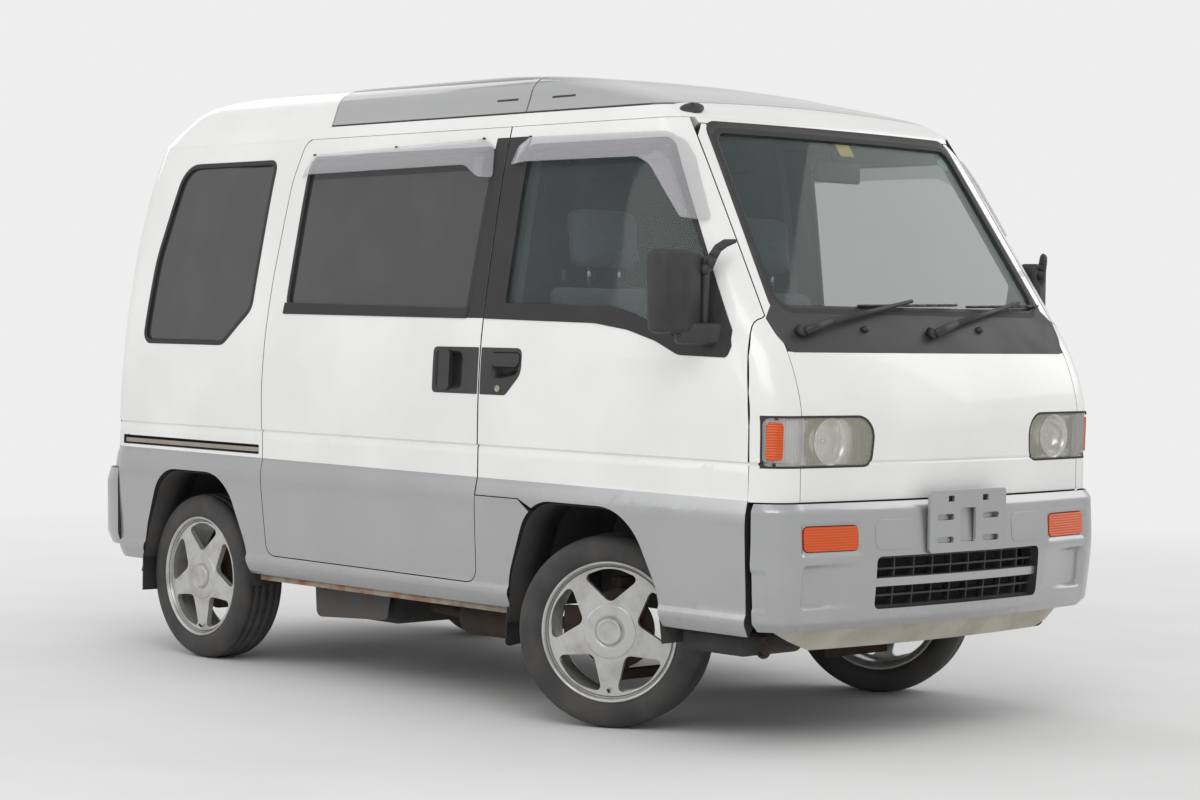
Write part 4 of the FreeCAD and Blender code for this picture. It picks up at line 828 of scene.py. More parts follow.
@dataclass
class Piece:
    """How one mesh becomes a piece of the van: its finishes, body, hidden node, wall and rounded edge."""

    name: str
    finish: Material | tuple[Material, ...]
    body: str = "root"
    node: str = ""
    wall: float = 0
    edge: float = 0
    inner: int = 0
    rim: int = 0
    segments: int = 2
    slot: str = ""

    def make(self, bm: BMesh) -> bpy.types.Object:
        """Turn a bmesh into the piece's object, with its finishing modifiers.

        Args:
            bm: The mesh, which is freed.

        Returns:
            The object, riding on its body.
        """
        mesh = bpy.data.meshes.new(self.name)
        bm.to_mesh(mesh)
        bm.free()
        mesh.polygons.foreach_set("use_smooth", [True] * len(mesh.polygons))
        finishes = self.finish if isinstance(self.finish, tuple) else (self.finish,)
        for material in finishes:
            mesh.materials.append(material)
        piece = bpy.data.objects.new(self.name, mesh)
        bpy.context.scene.collection.objects.link(piece)
        if self.wall:
            wall = piece.modifiers.new("wall", "SOLIDIFY")
            wall.thickness = self.wall * MM
            wall.offset = -1
            wall.material_offset = self.inner
            wall.material_offset_rim = self.rim
        if self.edge:
            edge = piece.modifiers.new("edge", "BEVEL")
            edge.width = self.edge * MM
            edge.segments = self.segments
            edge.limit_method = "ANGLE"
            edge.angle_limit = SHARP
            edge.harden_normals = True
        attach(piece, self.body)
        own = finishes[0].name.split(".")[0]
        self.slot or SLOTS.get(own, own)
        if self.node:
            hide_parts(self.node)
        log.info("%s: %d faces", self.name, len(mesh.polygons))
        return piece


def bevelled(bm: BMesh, geom: list, size: float, segments: int, **more: bool) -> None:
    """Round edges of a mesh, by a size in millimetres."""
    bmesh.ops.bevel(bm, geom=geom, offset=size * MM, offset_type="OFFSET", affect="EDGES", segments=segments,
                    profile=0.5, material=-1, **more)


def boxes(*corners: tuple[float, float, float, float, float, float], bevel: float = 0) -> BMesh:
    """Boxes between corners (x0, x1, y0, y1, z0, z1), with rounded edges if a bevel is given."""
    bm = bmesh.new()
    for x0, x1, y0, y1, z0, z1 in corners:
        middle = Vector((x0 + x1, y0 + y1, z0 + z1)) * (MM / 2)
        size = Matrix.Diagonal((*(Vector((x1 - x0, y1 - y0, z1 - z0)) * MM), 1))
        bmesh.ops.create_cube(bm, size=1, matrix=Matrix.Translation(middle) @ size)
    if bevel > 0:
        bevelled(bm, bm.edges[:], bevel, 3)
    return bm


def turned(profile: list[Point], steps: int = 64, closed: bool = False) -> BMesh:
    """A profile of (x, radius) turned about the X axis."""
    bm = bmesh.new()
    verts = [bm.verts.new((x * MM, 0, radius * MM)) for x, radius in profile]
    edges = [bm.edges.new(pair) for pair in zip(verts, verts[1:])]
    if closed:
        edges.append(bm.edges.new((verts[-1], verts[0])))
    bmesh.ops.spin(bm, geom=verts + edges, cent=(0, 0, 0), axis=(1, 0, 0), angle=2 * math.pi, steps=steps,
                   use_merge=True)
    bmesh.ops.remove_doubles(bm, verts=bm.verts[:], dist=0.00001)
    bmesh.ops.recalc_face_normals(bm, faces=bm.faces[:])
    return bm


def tube(start: Vector | Row, end: Vector | Row, radius: float, steps: int = 20,
         tip: float | None = None) -> BMesh:
    """A round bar between two points in millimetres, tapered where a tip radius is given."""
    bm = bmesh.new()
    start = Vector(start)
    end = Vector(end)
    run = (end - start) * MM
    turn = Vector((0, 0, 1)).rotation_difference(run.normalized()).to_matrix().to_4x4()
    matrix = Matrix.Translation((start + end) * (MM / 2)) @ turn
    bmesh.ops.create_cone(bm, cap_ends=True, segments=steps, radius1=radius * MM,
                          radius2=(radius if tip is None else tip) * MM, depth=run.length, matrix=matrix)
    return bm


def joined(*parts: BMesh) -> BMesh:
    """Several bmeshes in one, keeping their material indices."""
    whole = bmesh.new()
    for part in parts:
        mesh = bpy.data.meshes.new("part")
        part.to_mesh(mesh)
        part.free()
        whole.from_mesh(mesh)
        bpy.data.meshes.remove(mesh)
    return whole


def moved(bm: BMesh, x: float, y: float, z: float) -> BMesh:
    """The mesh moved by a distance in millimetres."""
    bmesh.ops.translate(bm, verts=bm.verts[:], vec=Vector((x, y, z)) * MM)
    return bm


def mirrored(bm: BMesh) -> BMesh:
    """The mesh moved to the other side of the van."""
    bmesh.ops.scale(bm, vec=(-1, 1, 1), verts=bm.verts[:])
    bmesh.ops.reverse_faces(bm, faces=bm.faces[:])
    return bm


def sided(bm: BMesh, side: Side) -> BMesh:
    """A mesh made for the right side, moved to its own side."""
    return mirrored(bm) if side is Side.LEFT else bm


B_SEAM = -412
DOOR_TOP = 1673
FRONT_ARCH: Rows = ((-545, 200, 0), (-556, 400, 200), (-640, 612, 130), (-1040, 612, 190), (-1152, 400, 200),
                    (-1180, 200, 0))
REAR_ARCH: Rows = ((690, 200, 0), (712, 380, 200), (826, 612, 170), (1190, 612, 130), (1266, 430, 200),
                   (1330, 200, 0))
FRONT_POCKET: Rows = ((-418, 903, 4), (-418, 1037, 4), (-592, 1037, 18), (-592, 965, 50), (-528, 903, 22))
SLIDING_POCKET: Rows = ((-406, 903, 4), (-204, 903, 12), (-204, 1036, 14), (-406, 1037, 4))
RAIL_GROOVE: Rows = ((650, 682, 4), (1424, 684, 4), (1424, 714, 4), (650, 712, 4))
PLATE_RECESS: Rows = ((-215, 690, 22), (-215, 890, 30), (215, 890, 30), (215, 690, 22))


@dataclass
class BodyShell:
    """The painted panels of the body, laid on its skin and split where the real ones meet."""

    wall: float = 42
    edge: float = 1.6
    door_front: tuple[Point, ...] = (
        (-1480, 306), (-1482, 853), (-1474, 939), (-1461, 1032), (-1454, 1090), (-1453, 1108), (-1456, 1119),
        (-1463, 1126), (-1474, 1130))
    sliding_door: Rows = (
        (B_SEAM, 362, 40), (604, 366, 45), (630, 640, 300), (638, 900, 600), (626, 1240, 600),
        (600, 1540, 300), (566, DOOR_TOP, 45), (B_SEAM, DOOR_TOP, 0))
    front_window: Rows = (
        (-500, 1612, 30), (-492, 1150, 25), (-950, 1143, 200), (-1120, 1095, 150), (-1240, 1046, 80),
        (-1398, 1046, 15), (-1398, 1096, 15), (-1086, 1612, 60))
    sliding_window: Rows = ((536, 1146, 30), (518, 1612, 35), (-366, 1612, 35), (-342, 1134, 30))
    quarter_window: Rows = (
        (700, 1608, 30), (722, 1140, 60), (862, 1026, 60), (1310, 1026, 35), (1290, 1300, 500),
        (1205, 1608, 90))
    screen: Rows = ((-552, 1150, 50), (-492, 1640, 45), (492, 1640, 45), (552, 1150, 50))
    gate: Rows = (
        (-565, 612, 40), (-565, 1000, 600), (-505, 1646, 60), (505, 1646, 60), (565, 1000, 600),
        (565, 612, 40))
    gate_window: Rows = ((-500, 1040, 60), (-455, 1590, 60), (455, 1590, 60), (500, 1040, 60))
    panel_half: float = 580
    panel_foot: float = 657
    lamp_z: Point = (746, 880)
    lamp_rear_y: float = -1508
    cowl_z: float = 1045
    belt: float = 1132
    foot: float = 302
    step: float = 614

    def pillar_x(self, z: float) -> float:
        """Half width of the screen pillar's outer edge."""
        return 614 - (z - 1000) * 80 / 685

    def pillar_line(self) -> list[Point]:
        """Seam between the screen pillar and the door, along the side, from the belt up."""
        heights = (1137, 1160, 1200, 1280, 1344, 1420, 1500, 1560, 1620, DOOR_TOP)
        return [(BODY.side_of_x(End.NOSE, self.pillar_x(z) + 2, z), z) for z in heights]

    def door_outline(self) -> list[Point]:
        """Outline of a front door along the side."""
        arch = [p for p in rounded(FRONT_ARCH) if p[0] < -652 and p[1] > 309]
        return [(B_SEAM, DOOR_TOP), (B_SEAM, self.step), (-596, self.step), *arch, (-1166, 306),
                *self.door_front, *self.pillar_line()]

    def side_outline(self) -> list[Point]:
        """Outline of the side panel with the sill, the step and the rear quarter."""
        step = [p for p in rounded(FRONT_ARCH) if p[0] >= -648 and p[1] > 305]
        seam = [p for p in rounded(self.sliding_door) if not (p[0] < B_SEAM + 1 and p[1] > 1600)]
        rear = [(BODY.side_of_x(End.TAIL, half, z), z) for half, z in (
            (400, 1675), (400, 1655), (492, 1655), (508, 1640), (528, 1400), (551, 1200), (566, 1000),
            (566, 924))]
        lamp = BODY.side_of_x(End.TAIL, 566, 690)
        lamp_rear = [(1472, 924), (1472, 686), (lamp, 686), (lamp, 604), (1440, 604), (1440, self.foot)]
        arch = [p for p in reversed(rounded(REAR_ARCH)) if p[1] > 305]
        return [(-551, self.foot), *step, (-596, self.step), (B_SEAM, self.step), *seam, (562, 1675), *rear,
                *lamp_rear, (1298, self.foot), *arch, (702, self.foot)]

    def corner_outline(self) -> list[Point]:
        """Outline of a front corner panel with its pillar, round from the middle of the nose."""
        half = self.panel_half
        low, high = self.lamp_z
        pillar = self.pillar_line()[:-1]
        seam = [(self.door_front[0][0], self.panel_foot), (-1480.5, 750),
                *[p for p in self.door_front if p[1] > 800], *pillar, (pillar[-1][0], 1655)]
        lamp = [(BODY.round_of_y(End.NOSE, self.lamp_rear_y, z), z) for z in (high, low)]
        return [(half, self.panel_foot), *[(BODY.round_of_side(End.NOSE, a, z), z) for a, z in seam],
                (496, 1655), (506, 1600), (545, 1260), (560, 1180), (562, self.belt), (half, self.belt),
                (half, high), *lamp, (half, low)]

    def lamp_inner(self) -> list[Point]:
        """Rounded inner end of the headlamp opening, from bottom to top."""
        low, high = self.lamp_z
        return rounded([(580, low, 0), (332, low, 32), (320, high, 86), (580, high, 0)])[1:-1]

    def front_outline(self) -> list[Point]:
        """Outline of the front panel, up to the windshield."""
        half = self.panel_half
        low, high = self.lamp_z
        left = [(half, self.panel_foot), (half, low), *self.lamp_inner(), (half, high), (half, self.belt),
                (560, 1146), (520, 1152)]
        return [*left, *reversed(flipped(left))]

    def panel(self, name: str, paint: tuple[Material, ...], bm: BMesh, body: str, node: str) -> None:
        """Make one panel that is painted in two tones."""
        split_two_tone(bm)
        Piece(name, paint, body, node, self.wall, self.edge, 2, 4, slot="paint_two_tone").make(bm)

    def build(self, finish: Finishes) -> None:
        """Make and dress every panel."""
        # Inner faces get the trim, and the rims that line the seams get near-black painted shade.
        trim_and_seam_shade = (finish.trim, finish.trim, finish.groove, finish.groove)
        paint = (finish.white, finish.silver, *trim_and_seam_shade)
        for side in Side:
            word = side.word
            for name, outline, holes, body, node in (
                ("door", grown(self.door_outline(), -SEAM / 2),
                 (rounded(self.front_window), grown(rounded(FRONT_POCKET), -4)), "door_" + word,
                 "front_door_"),
                ("sliding", grown(rounded(self.sliding_door), -SEAM / 2),
                 (rounded(self.sliding_window), grown(rounded(SLIDING_POCKET), -4)), "root", "sliding_door_"),
                ("side", grown(self.side_outline(), -0.5),
                 (rounded(self.quarter_window), rounded(RAIL_GROOVE)), "root", "side_panel_"),
            ):
                bm = side_sheet(side, outline, holes=holes, levels=BODY.creases)
                self.panel(name + "_skin_" + word, paint, bm, body, node + word)
            bm = sheet(grown(side.turn(self.corner_outline()), -0.8), on_front(BODY), 20, levels=BODY.creases)
            # The corner panel's rim also gets near-black painted shade.
            Piece("corner_skin_" + word, (finish.white, finish.pillar_trim, finish.groove), "root",
                  "front_corner_" + word, self.wall, self.edge, 1, 2).make(bm)
        bm = sheet(grown(self.front_outline(), -1), on_front(BODY), 24, levels=BODY.creases)
        cut(bm, (0, 0, self.cowl_z * MM), (0, 0, 1), 0.0001)
        for face in bm.faces:
            face.material_index = int(face.calc_center_median().z > self.cowl_z * MM)
        Piece("front_skin", (finish.white, finish.black, *trim_and_seam_shade), "root", "front_panel", self.wall,
              self.edge, 2, 4).make(bm)
        bm = sheet(grown(rounded(self.gate), -SEAM / 2), on_rear(BODY), 26, True,
                   (rounded(self.gate_window), rounded(PLATE_RECESS)), BODY.creases)
        self.panel("gate_skin", paint, bm, "tailgate_body", "tailgate")
        lined = (finish.white, finish.headliner)
        header = [(-519, 1657), (519, 1657), (526, 1676), (-526, 1676)]
        Piece("roof_header_front", lined, wall=28, edge=1, inner=1).make(sheet(header, on_front(BODY)))
        header = [(-500, 1651), (500, 1651), (500, 1679), (-500, 1679)]
        Piece("roof_header_rear", lined, wall=20,
              inner=1).make(sheet(header, on_rear(BODY, 14), reverse=True))


@dataclass
class Glass:
    """Windows with their rubber frames."""

    shell: BodyShell
    set_in: float = 7
    thickness: float = 4.5
    frame_out: float = 5
    frame_in: float = 9
    frit_outer: Rows = ((-573, 1134, 40), (-503, 1664, 42), (503, 1664, 42), (573, 1134, 40))
    frit_inner: Rows = ((-542, 1163, 48), (-479, 1633, 40), (479, 1633, 40), (542, 1163, 48))

    def window(self, pane: Piece, outline: list[Point], surface: Callable[[float], Place], rubber: Material,
               reverse: bool) -> None:
        """Make one pane and the rubber that frames it.

        Args:
            pane: How the pane is made.
            outline: Edge of the opening.
            surface: Gives the laying of an outline at an inset.
            rubber: Finish of the frame.
            reverse: Turns the faces round.
        """
        pane.wall = self.thickness
        pane.make(sheet(grown(outline, 3), surface(self.set_in), reverse=reverse))
        frame = sheet(grown(outline, self.frame_out), surface(-1.2), reverse=reverse,
                      holes=(grown(outline, -self.frame_in),))
        Piece(pane.name.replace("pane", "rubber"), rubber, pane.body, wall=12, edge=2.5).make(frame)

    def build(self, finish: Finishes) -> None:
        """Make every window."""
        shell = self.shell
        rubber = finish.rubber
        for side in Side:
            word = side.word
            for name, rows, glass, body, node in (
                ("front", shell.front_window, finish.clear, "door_" + word, "front_door_glass_" + word),
                ("sliding", shell.sliding_window, finish.dark, "root", "side_glass"),
                ("quarter", shell.quarter_window, finish.dark, "root", "side_glass"),
            ):
                self.window(Piece(name + "_pane_" + word, glass, body, node), rounded(rows),
                            lambda inset, side=side: on_side(BODY, side, inset), rubber, side is Side.RIGHT)
        front = lambda inset: on_front(BODY, inset)
        self.window(Piece("screen_pane", finish.clear, "root", "windshield"), rounded(shell.screen), front,
                    rubber, False)
        Piece("screen_frit", finish.black, wall=1).make(
            sheet(rounded(self.frit_outer), front(-0.9), holes=(rounded(self.frit_inner),)))
        self.window(Piece("gate_pane", finish.dark, "tailgate_body", "tailgate_glass"),
                    rounded(shell.gate_window), lambda inset: on_rear(BODY, inset), rubber, True)


@dataclass
class RoofTop:
    """The white roof with its two pieces of glass and the seals between them."""

    front_y: float = -1026
    split_y: float = -445
    rear_y: float = 469
    edge_z: float = 1712
    gap: float = 3
    seal: float = 14
    levels: int = 34
    lap: float = 5.5

    def dome(self, inset: float) -> BMesh:
        """The whole roof surface, ring upon ring, lapping over the body's top edge."""
        bm = bmesh.new()
        low = ROOF_ROWS[0][0]
        high = ROOF_ROWS[-1][0]
        last = None
        for i in range(-1, self.levels + 1):
            z = low + (high - low) * math.sin(HALF_TURN * i / self.levels)
            ring = ROOF.ring(z, inset) if i >= 0 else BODY.ring(low - self.lap, inset - 0.4)
            verts = [bm.verts.new(p) for p in ring]
            edges = [bm.edges.new(pair) for pair in zip(verts, verts[1:] + verts[:1])]
            if last is not None:
                bmesh.ops.bridge_loops(bm, edges=last + edges)
            last = edges
        bmesh.ops.contextual_create(bm, geom=last)
        bmesh.ops.recalc_face_normals(bm, faces=bm.faces[:])
        if sum(face.normal.z * face.calc_area() for face in bm.faces) < 0:
            bmesh.ops.reverse_faces(bm, faces=bm.faces[:])
        return bm

    def kept(self, inset: float, rows: tuple[float, ...], heights: tuple[float, ...],
             keep: Callable[[Vector], bool]) -> BMesh:
        """The part of the dome whose faces pass a test, cut straight first.

        Args:
            inset: How far the dome is shrunk.
            rows: Places of the cuts across the van.
            heights: Heights of the level cuts.
            keep: Says whether the face with this centre, in millimetres, stays.

        Returns:
            The part that stays.
        """
        bm = self.dome(inset)
        for y in rows:
            cut(bm, Vector((0, y, 0)) * MM, (0, 1, 0), 0.00005)
        for z in heights:
            cut(bm, Vector((0, 0, z)) * MM, (0, 0, 1), 0.00005)
        dropped = [face for face in bm.faces if not keep(face.calc_center_median() / MM)]
        bmesh.ops.delete(bm, geom=dropped, context="FACES")
        return bm

    def build(self, finish: Finishes) -> None:
        """Make and dress the roof."""
        g = self.gap
        top = self.edge_z

        def in_glass(p: Vector, grow: float) -> bool:
            """Whether a point lies over the glass, grown by a margin."""
            return self.front_y - grow < p.y < self.rear_y + grow and p.z > top - grow

        for name, low, high in (("front", self.front_y + g, self.split_y - g),
                                ("rear", self.split_y + g, self.rear_y - g)):
            bm = self.kept(0, (low, high), (top + g,),
                           lambda p, low=low, high=high: low < p.y < high and p.z > top + g)
            Piece("roof_pane_" + name, finish.roof_glass, "root", "roof_glass_" + name, 6, 1.5).make(bm)
        bm = self.kept(0, (self.front_y - g, self.rear_y + g), (top - g,), lambda p: not in_glass(p, g))
        Piece("roof_skin", (finish.white, finish.headliner), "root", "roof_panel", 24, 1.5, 1).make(bm)
        seal = self.seal
        lines = (self.front_y, self.split_y, self.rear_y)
        bm = self.kept(3, tuple(y + off for y in lines for off in (-seal, seal)), (top - seal, top + seal),
                       lambda p: in_glass(p, seal) and (any(abs(p.y - y) < seal for y in lines)
                                                        or abs(p.z - top) < seal))
        Piece("roof_seal", finish.rubber, wall=3).make(bm)


@dataclass
class Nose:
    """Bumper, grille, lamps, indicators, plate bracket and valance."""

    shell: BodyShell
    rear_y: float = -1499
    grille: Row = (340, 372, 511)
    indicator: tuple[float, float, float, float] = (400, 588, 529, 597)
    indicator_depth: float = 7
    vent: Rows = ((352, 380, 10), (352, 501, 10), (592, 498, 16), (592, 380, 18))
    vent_fade: Point = (375, 530)
    vent_depth: float = 17
    side_pocket: Row = (-1541, 377, 482)
    pocket_depth: float = 6
    columns: int = 9

    def dent(self, b: float, z: float) -> float:
        """Depth of the bumper's hollows, beside the grille and at its rear edge, at a place on it."""
        b = abs(b)
        y, low, high = self.side_pocket
        vent = rounded(self.vent)
        if inside(vent, b, z):
            start, full = self.vent_fade
            fade = min(max((b - start) / (full - start), 0), 1)
            return self.vent_depth * fade * eased(edge_distance(vent, b, z) / 12)
        front = FRONT_BUMPER.round_of_y(End.NOSE, y, z)
        if b > front and low < z < high:
            return self.pocket_depth * eased(min(b - front, z - low, high - z) / 6)
        x0, x1, z0, z1 = self.indicator
        gap = math.hypot(max(x0 - b, 0, b - x1), max(z0 - z, 0, z - z1))
        return self.indicator_depth * (1 - eased(gap / 14))

    def bumper(self, finish: Finishes) -> None:
        """The silver bumper with its openings and hollows, its indicators and the blank caps beside them."""
        heights = (323, 345, 420, 500, 635, 654)
        ends = [(FRONT_BUMPER.round_of_y(End.NOSE, self.rear_y, z), z) for z in heights]
        half, low, high = self.grille
        lamp = rectangle(*self.indicator, 14)

        def place(b: float, z: float) -> Vector:
            """Place on the bumper with its hollows."""
            return Vector((*FRONT_BUMPER.around(End.NOSE, b, z, self.dent(b, z)), z)) * MM

        bm = sheet([*ends, *reversed(flipped(ends))], place, 7,
                   holes=(rectangle(-half, half, low, high, 16), lamp, flipped(lamp)))
        Piece("bumper_skin", (finish.silver, finish.black), "root", "front_bumper", 18, 2, 1, 1).make(bm)
        cap = rectangle(207, 346, 528, 608, 20)
        for side in Side:
            Piece("indicator_lens_" + side.word, finish.amber, "root", "front_indicators", 30, 3).make(
                sheet(side.turn(grown(lamp, -2)), on_front(FRONT_BUMPER, 4), 20))
            Piece("blank_cap_" + side.word, finish.silver, wall=3, edge=1.5).make(
                sheet(side.turn(cap), on_front(FRONT_BUMPER, -1.6), 20))

    def grille_pieces(self, finish: Finishes) -> None:
        """Egg-crate grille with a silver bar across its middle, and the walls behind it, one a near-black
        sheet of painted shade.
        """
        half, low, high = self.grille
        middle = (low + high) / 2
        left = -half + 8
        pitch = 2 * (half - 8) / self.columns
        rows = ((low + 7, middle - 38), (middle - 33, middle - 13), (middle + 13, middle + 33),
                (middle + 38, high - 7))
        holes = [rectangle(left + i * pitch + 2, left + i * pitch + pitch - 2, z0, z1, 2)
                 for i in range(self.columns) for z0, z1 in rows]
        Piece("grille_crate", finish.black, "root", "grille", 22, 0.8).make(
            sheet(rectangle(-half, half, low, high, 16), on_front(FRONT_BUMPER, 18), 40, holes=holes))
        Piece("front_bulkhead", finish.trim, wall=3).make(
            sheet(rectangle(-600, 600, 325, 1030, 30), on_front(BODY, 100), 40))
        # Near-black sheet behind the grille: painted shade seen through its openings.
        Piece("grille_back", finish.groove, wall=3).make(
            sheet(rectangle(-half - 20, half + 20, low - 20, high + 20, 10), on_front(FRONT_BUMPER, 72), 40))
        Piece("grille_bar", finish.silver, wall=14, edge=3).make(
            sheet(rectangle(-half + 2, half - 2, middle - 11, middle + 11, 4), on_front(FRONT_BUMPER, 10),
                  30))

    def lamps(self, finish: Finishes) -> None:
        """Headlamps: lens, reflector, bulb and the corner lamp with its amber marker."""
        inner = self.shell.lamp_inner()
        low, high = self.shell.lamp_z
        rear = [(BODY.round_of_y(End.NOSE, self.shell.lamp_rear_y, z), z) for z in (low, high)]
        whole = [*inner, rear[1], rear[0]]
        marker = rectangle(636, rear[0][0] - 12, low + 20, high - 16, 9)
        seal = rounded([(b, z, 18 if i >= len(inner) else 0) for i, (b, z) in enumerate(grown(whole, -5))])
        parts = (
            ("headlamp_lens_", finish.lamp, "headlamps", grown([(577, low), *inner, (577, high)], -3), (), 1,
             16, 3, 1),
            ("corner_lens_", finish.marker_lens, "", grown([(581, low), *rear, (581, high)], -3), (marker,),
             1, 12, 3, 1),
            ("corner_marker_", finish.amber, "", grown(marker, -0.8), (), -2, 12, 10, 2),
            ("lamp_seal_", finish.rubber, "", grown(whole, 0.6), (seal,), -0.4, 16, 9, 0.8),
            ("lamp_rib_", finish.marker_lens, "", rectangle(573, 583, low + 4, high - 4, 1), (), 0.4, 16, 12,
             0.8),
        )
        for side in Side:
            word = side.word
            for name, material, node, outline, holes, inset, spacing, wall, edge in parts:
                Piece(name + word, material, "root", node, wall, edge).make(
                    sheet(side.turn(outline), on_front(BODY, inset), spacing,
                          holes=[side.turn(hole) for hole in holes]))
            screws = joined(*[tube((*BODY.around(End.NOSE, 655, z, 2), z),
                                   (*BODY.around(End.NOSE, 655, z, -3), z),
                                   4.5, 16) for z in (low + 9, high - 6)])
            Piece("lamp_screws_" + word, finish.iron).make(mirrored(screws) if side is Side.RIGHT else screws)
            Piece("lamp_bucket_" + word, finish.chrome, wall=3).make(
                sheet(side.turn(grown(whole, -2)), on_front(BODY, 42), 16))
            bowl = turned([(-36, 62), (-18, 58), (4, 46), (18, 28), (24, 12)], 40)
            bulb = turned([(-14, 0.1), (-12, 6), (0, 8), (24, 8)], 20)
            both = joined(bowl, bulb)
            bmesh.ops.rotate(both, verts=both.verts[:], cent=(0, 0, 0),
                             matrix=Matrix.Rotation(HALF_TURN, 3, "Z"))
            x, y = BODY.around(End.NOSE, 470, 812)
            Piece("lamp_bowl_" + word, finish.chrome, wall=1.5).make(moved(both, side.value * x, y + 46, 812))

    def bracket(self, finish: Finishes) -> None:
        """Number plate bracket with its slots and nuts."""
        holes = [rectangle(-31, 31, 538, 630, 5)]
        for side in (-1, 1):
            holes += [rectangle(side * 95 - 35, side * 95 + 35, z - 8, z + 8, 7) for z in (546, 607)]
            holes.append(rectangle(side * 72 - 12, side * 72 + 12, 648, 664, 1.5))
        Piece("bracket_plate", finish.silver, "root", "plate_bracket", 9, 2.5, slot="bracket_grey").make(
            sheet(rectangle(-160, 160, 512, 680, 10), lambda b, z: Vector((b, -1646, z)) * MM, 40,
                  holes=holes))
        Piece("bracket_nuts", finish.iron).make(
            boxes((-86, -56, -1636, -1628, 645, 667), (56, 86, -1636, -1628, 645, 667)))

    def valance(self, finish: Finishes) -> None:
        """Stained lip under the bumper."""
        ends = [(VALANCE.round_of_y(End.NOSE, y, z), z) for y,
                z in ((-1522, 263), (-1500, 290), (-1474, 321))]
        Piece("valance_skin", (finish.beige, finish.black), "root", "front_valance", 10, 2, 1).make(
            sheet([*ends, *reversed(flipped(ends))], on_front(VALANCE), 24))

    def build(self, finish: Finishes) -> None:
        """Make the whole nose."""
        for step in (self.bumper, self.grille_pieces, self.lamps, self.bracket, self.valance):
            step(finish)


@dataclass
class Tail:
    """Rear bumper and tail lamps."""

    seam_y: float = 1441
    lamp_y: float = 1474

    def build(self, finish: Finishes) -> None:
        """Make the tail's pieces."""
        ends = [(REAR_BUMPER.round_of_y(End.TAIL, self.seam_y, z), z) for z in (343, 380, 470, 560, 599)]
        Piece("rear_bumper_skin", (finish.silver, finish.black), "root", "rear_bumper", 36, 2, 1, 1).make(
            sheet([*ends, *reversed(flipped(ends))], on_rear(REAR_BUMPER), 24, True))
        outer = BODY.round_of_y(End.TAIL, self.lamp_y, 800)
        for side in Side:
            for name, z0, z1, material in (("amber", 848, 918, finish.amber), ("red", 692, 844, finish.red)):
                Piece("tail_" + name + "_" + side.word, material, "root", "tail_lamps", 24, 3,
                      slot="red_lens").make(
                    sheet(side.turn(rectangle(574, outer, z0, z1, 8)), on_rear(BODY, 1), 16, True))


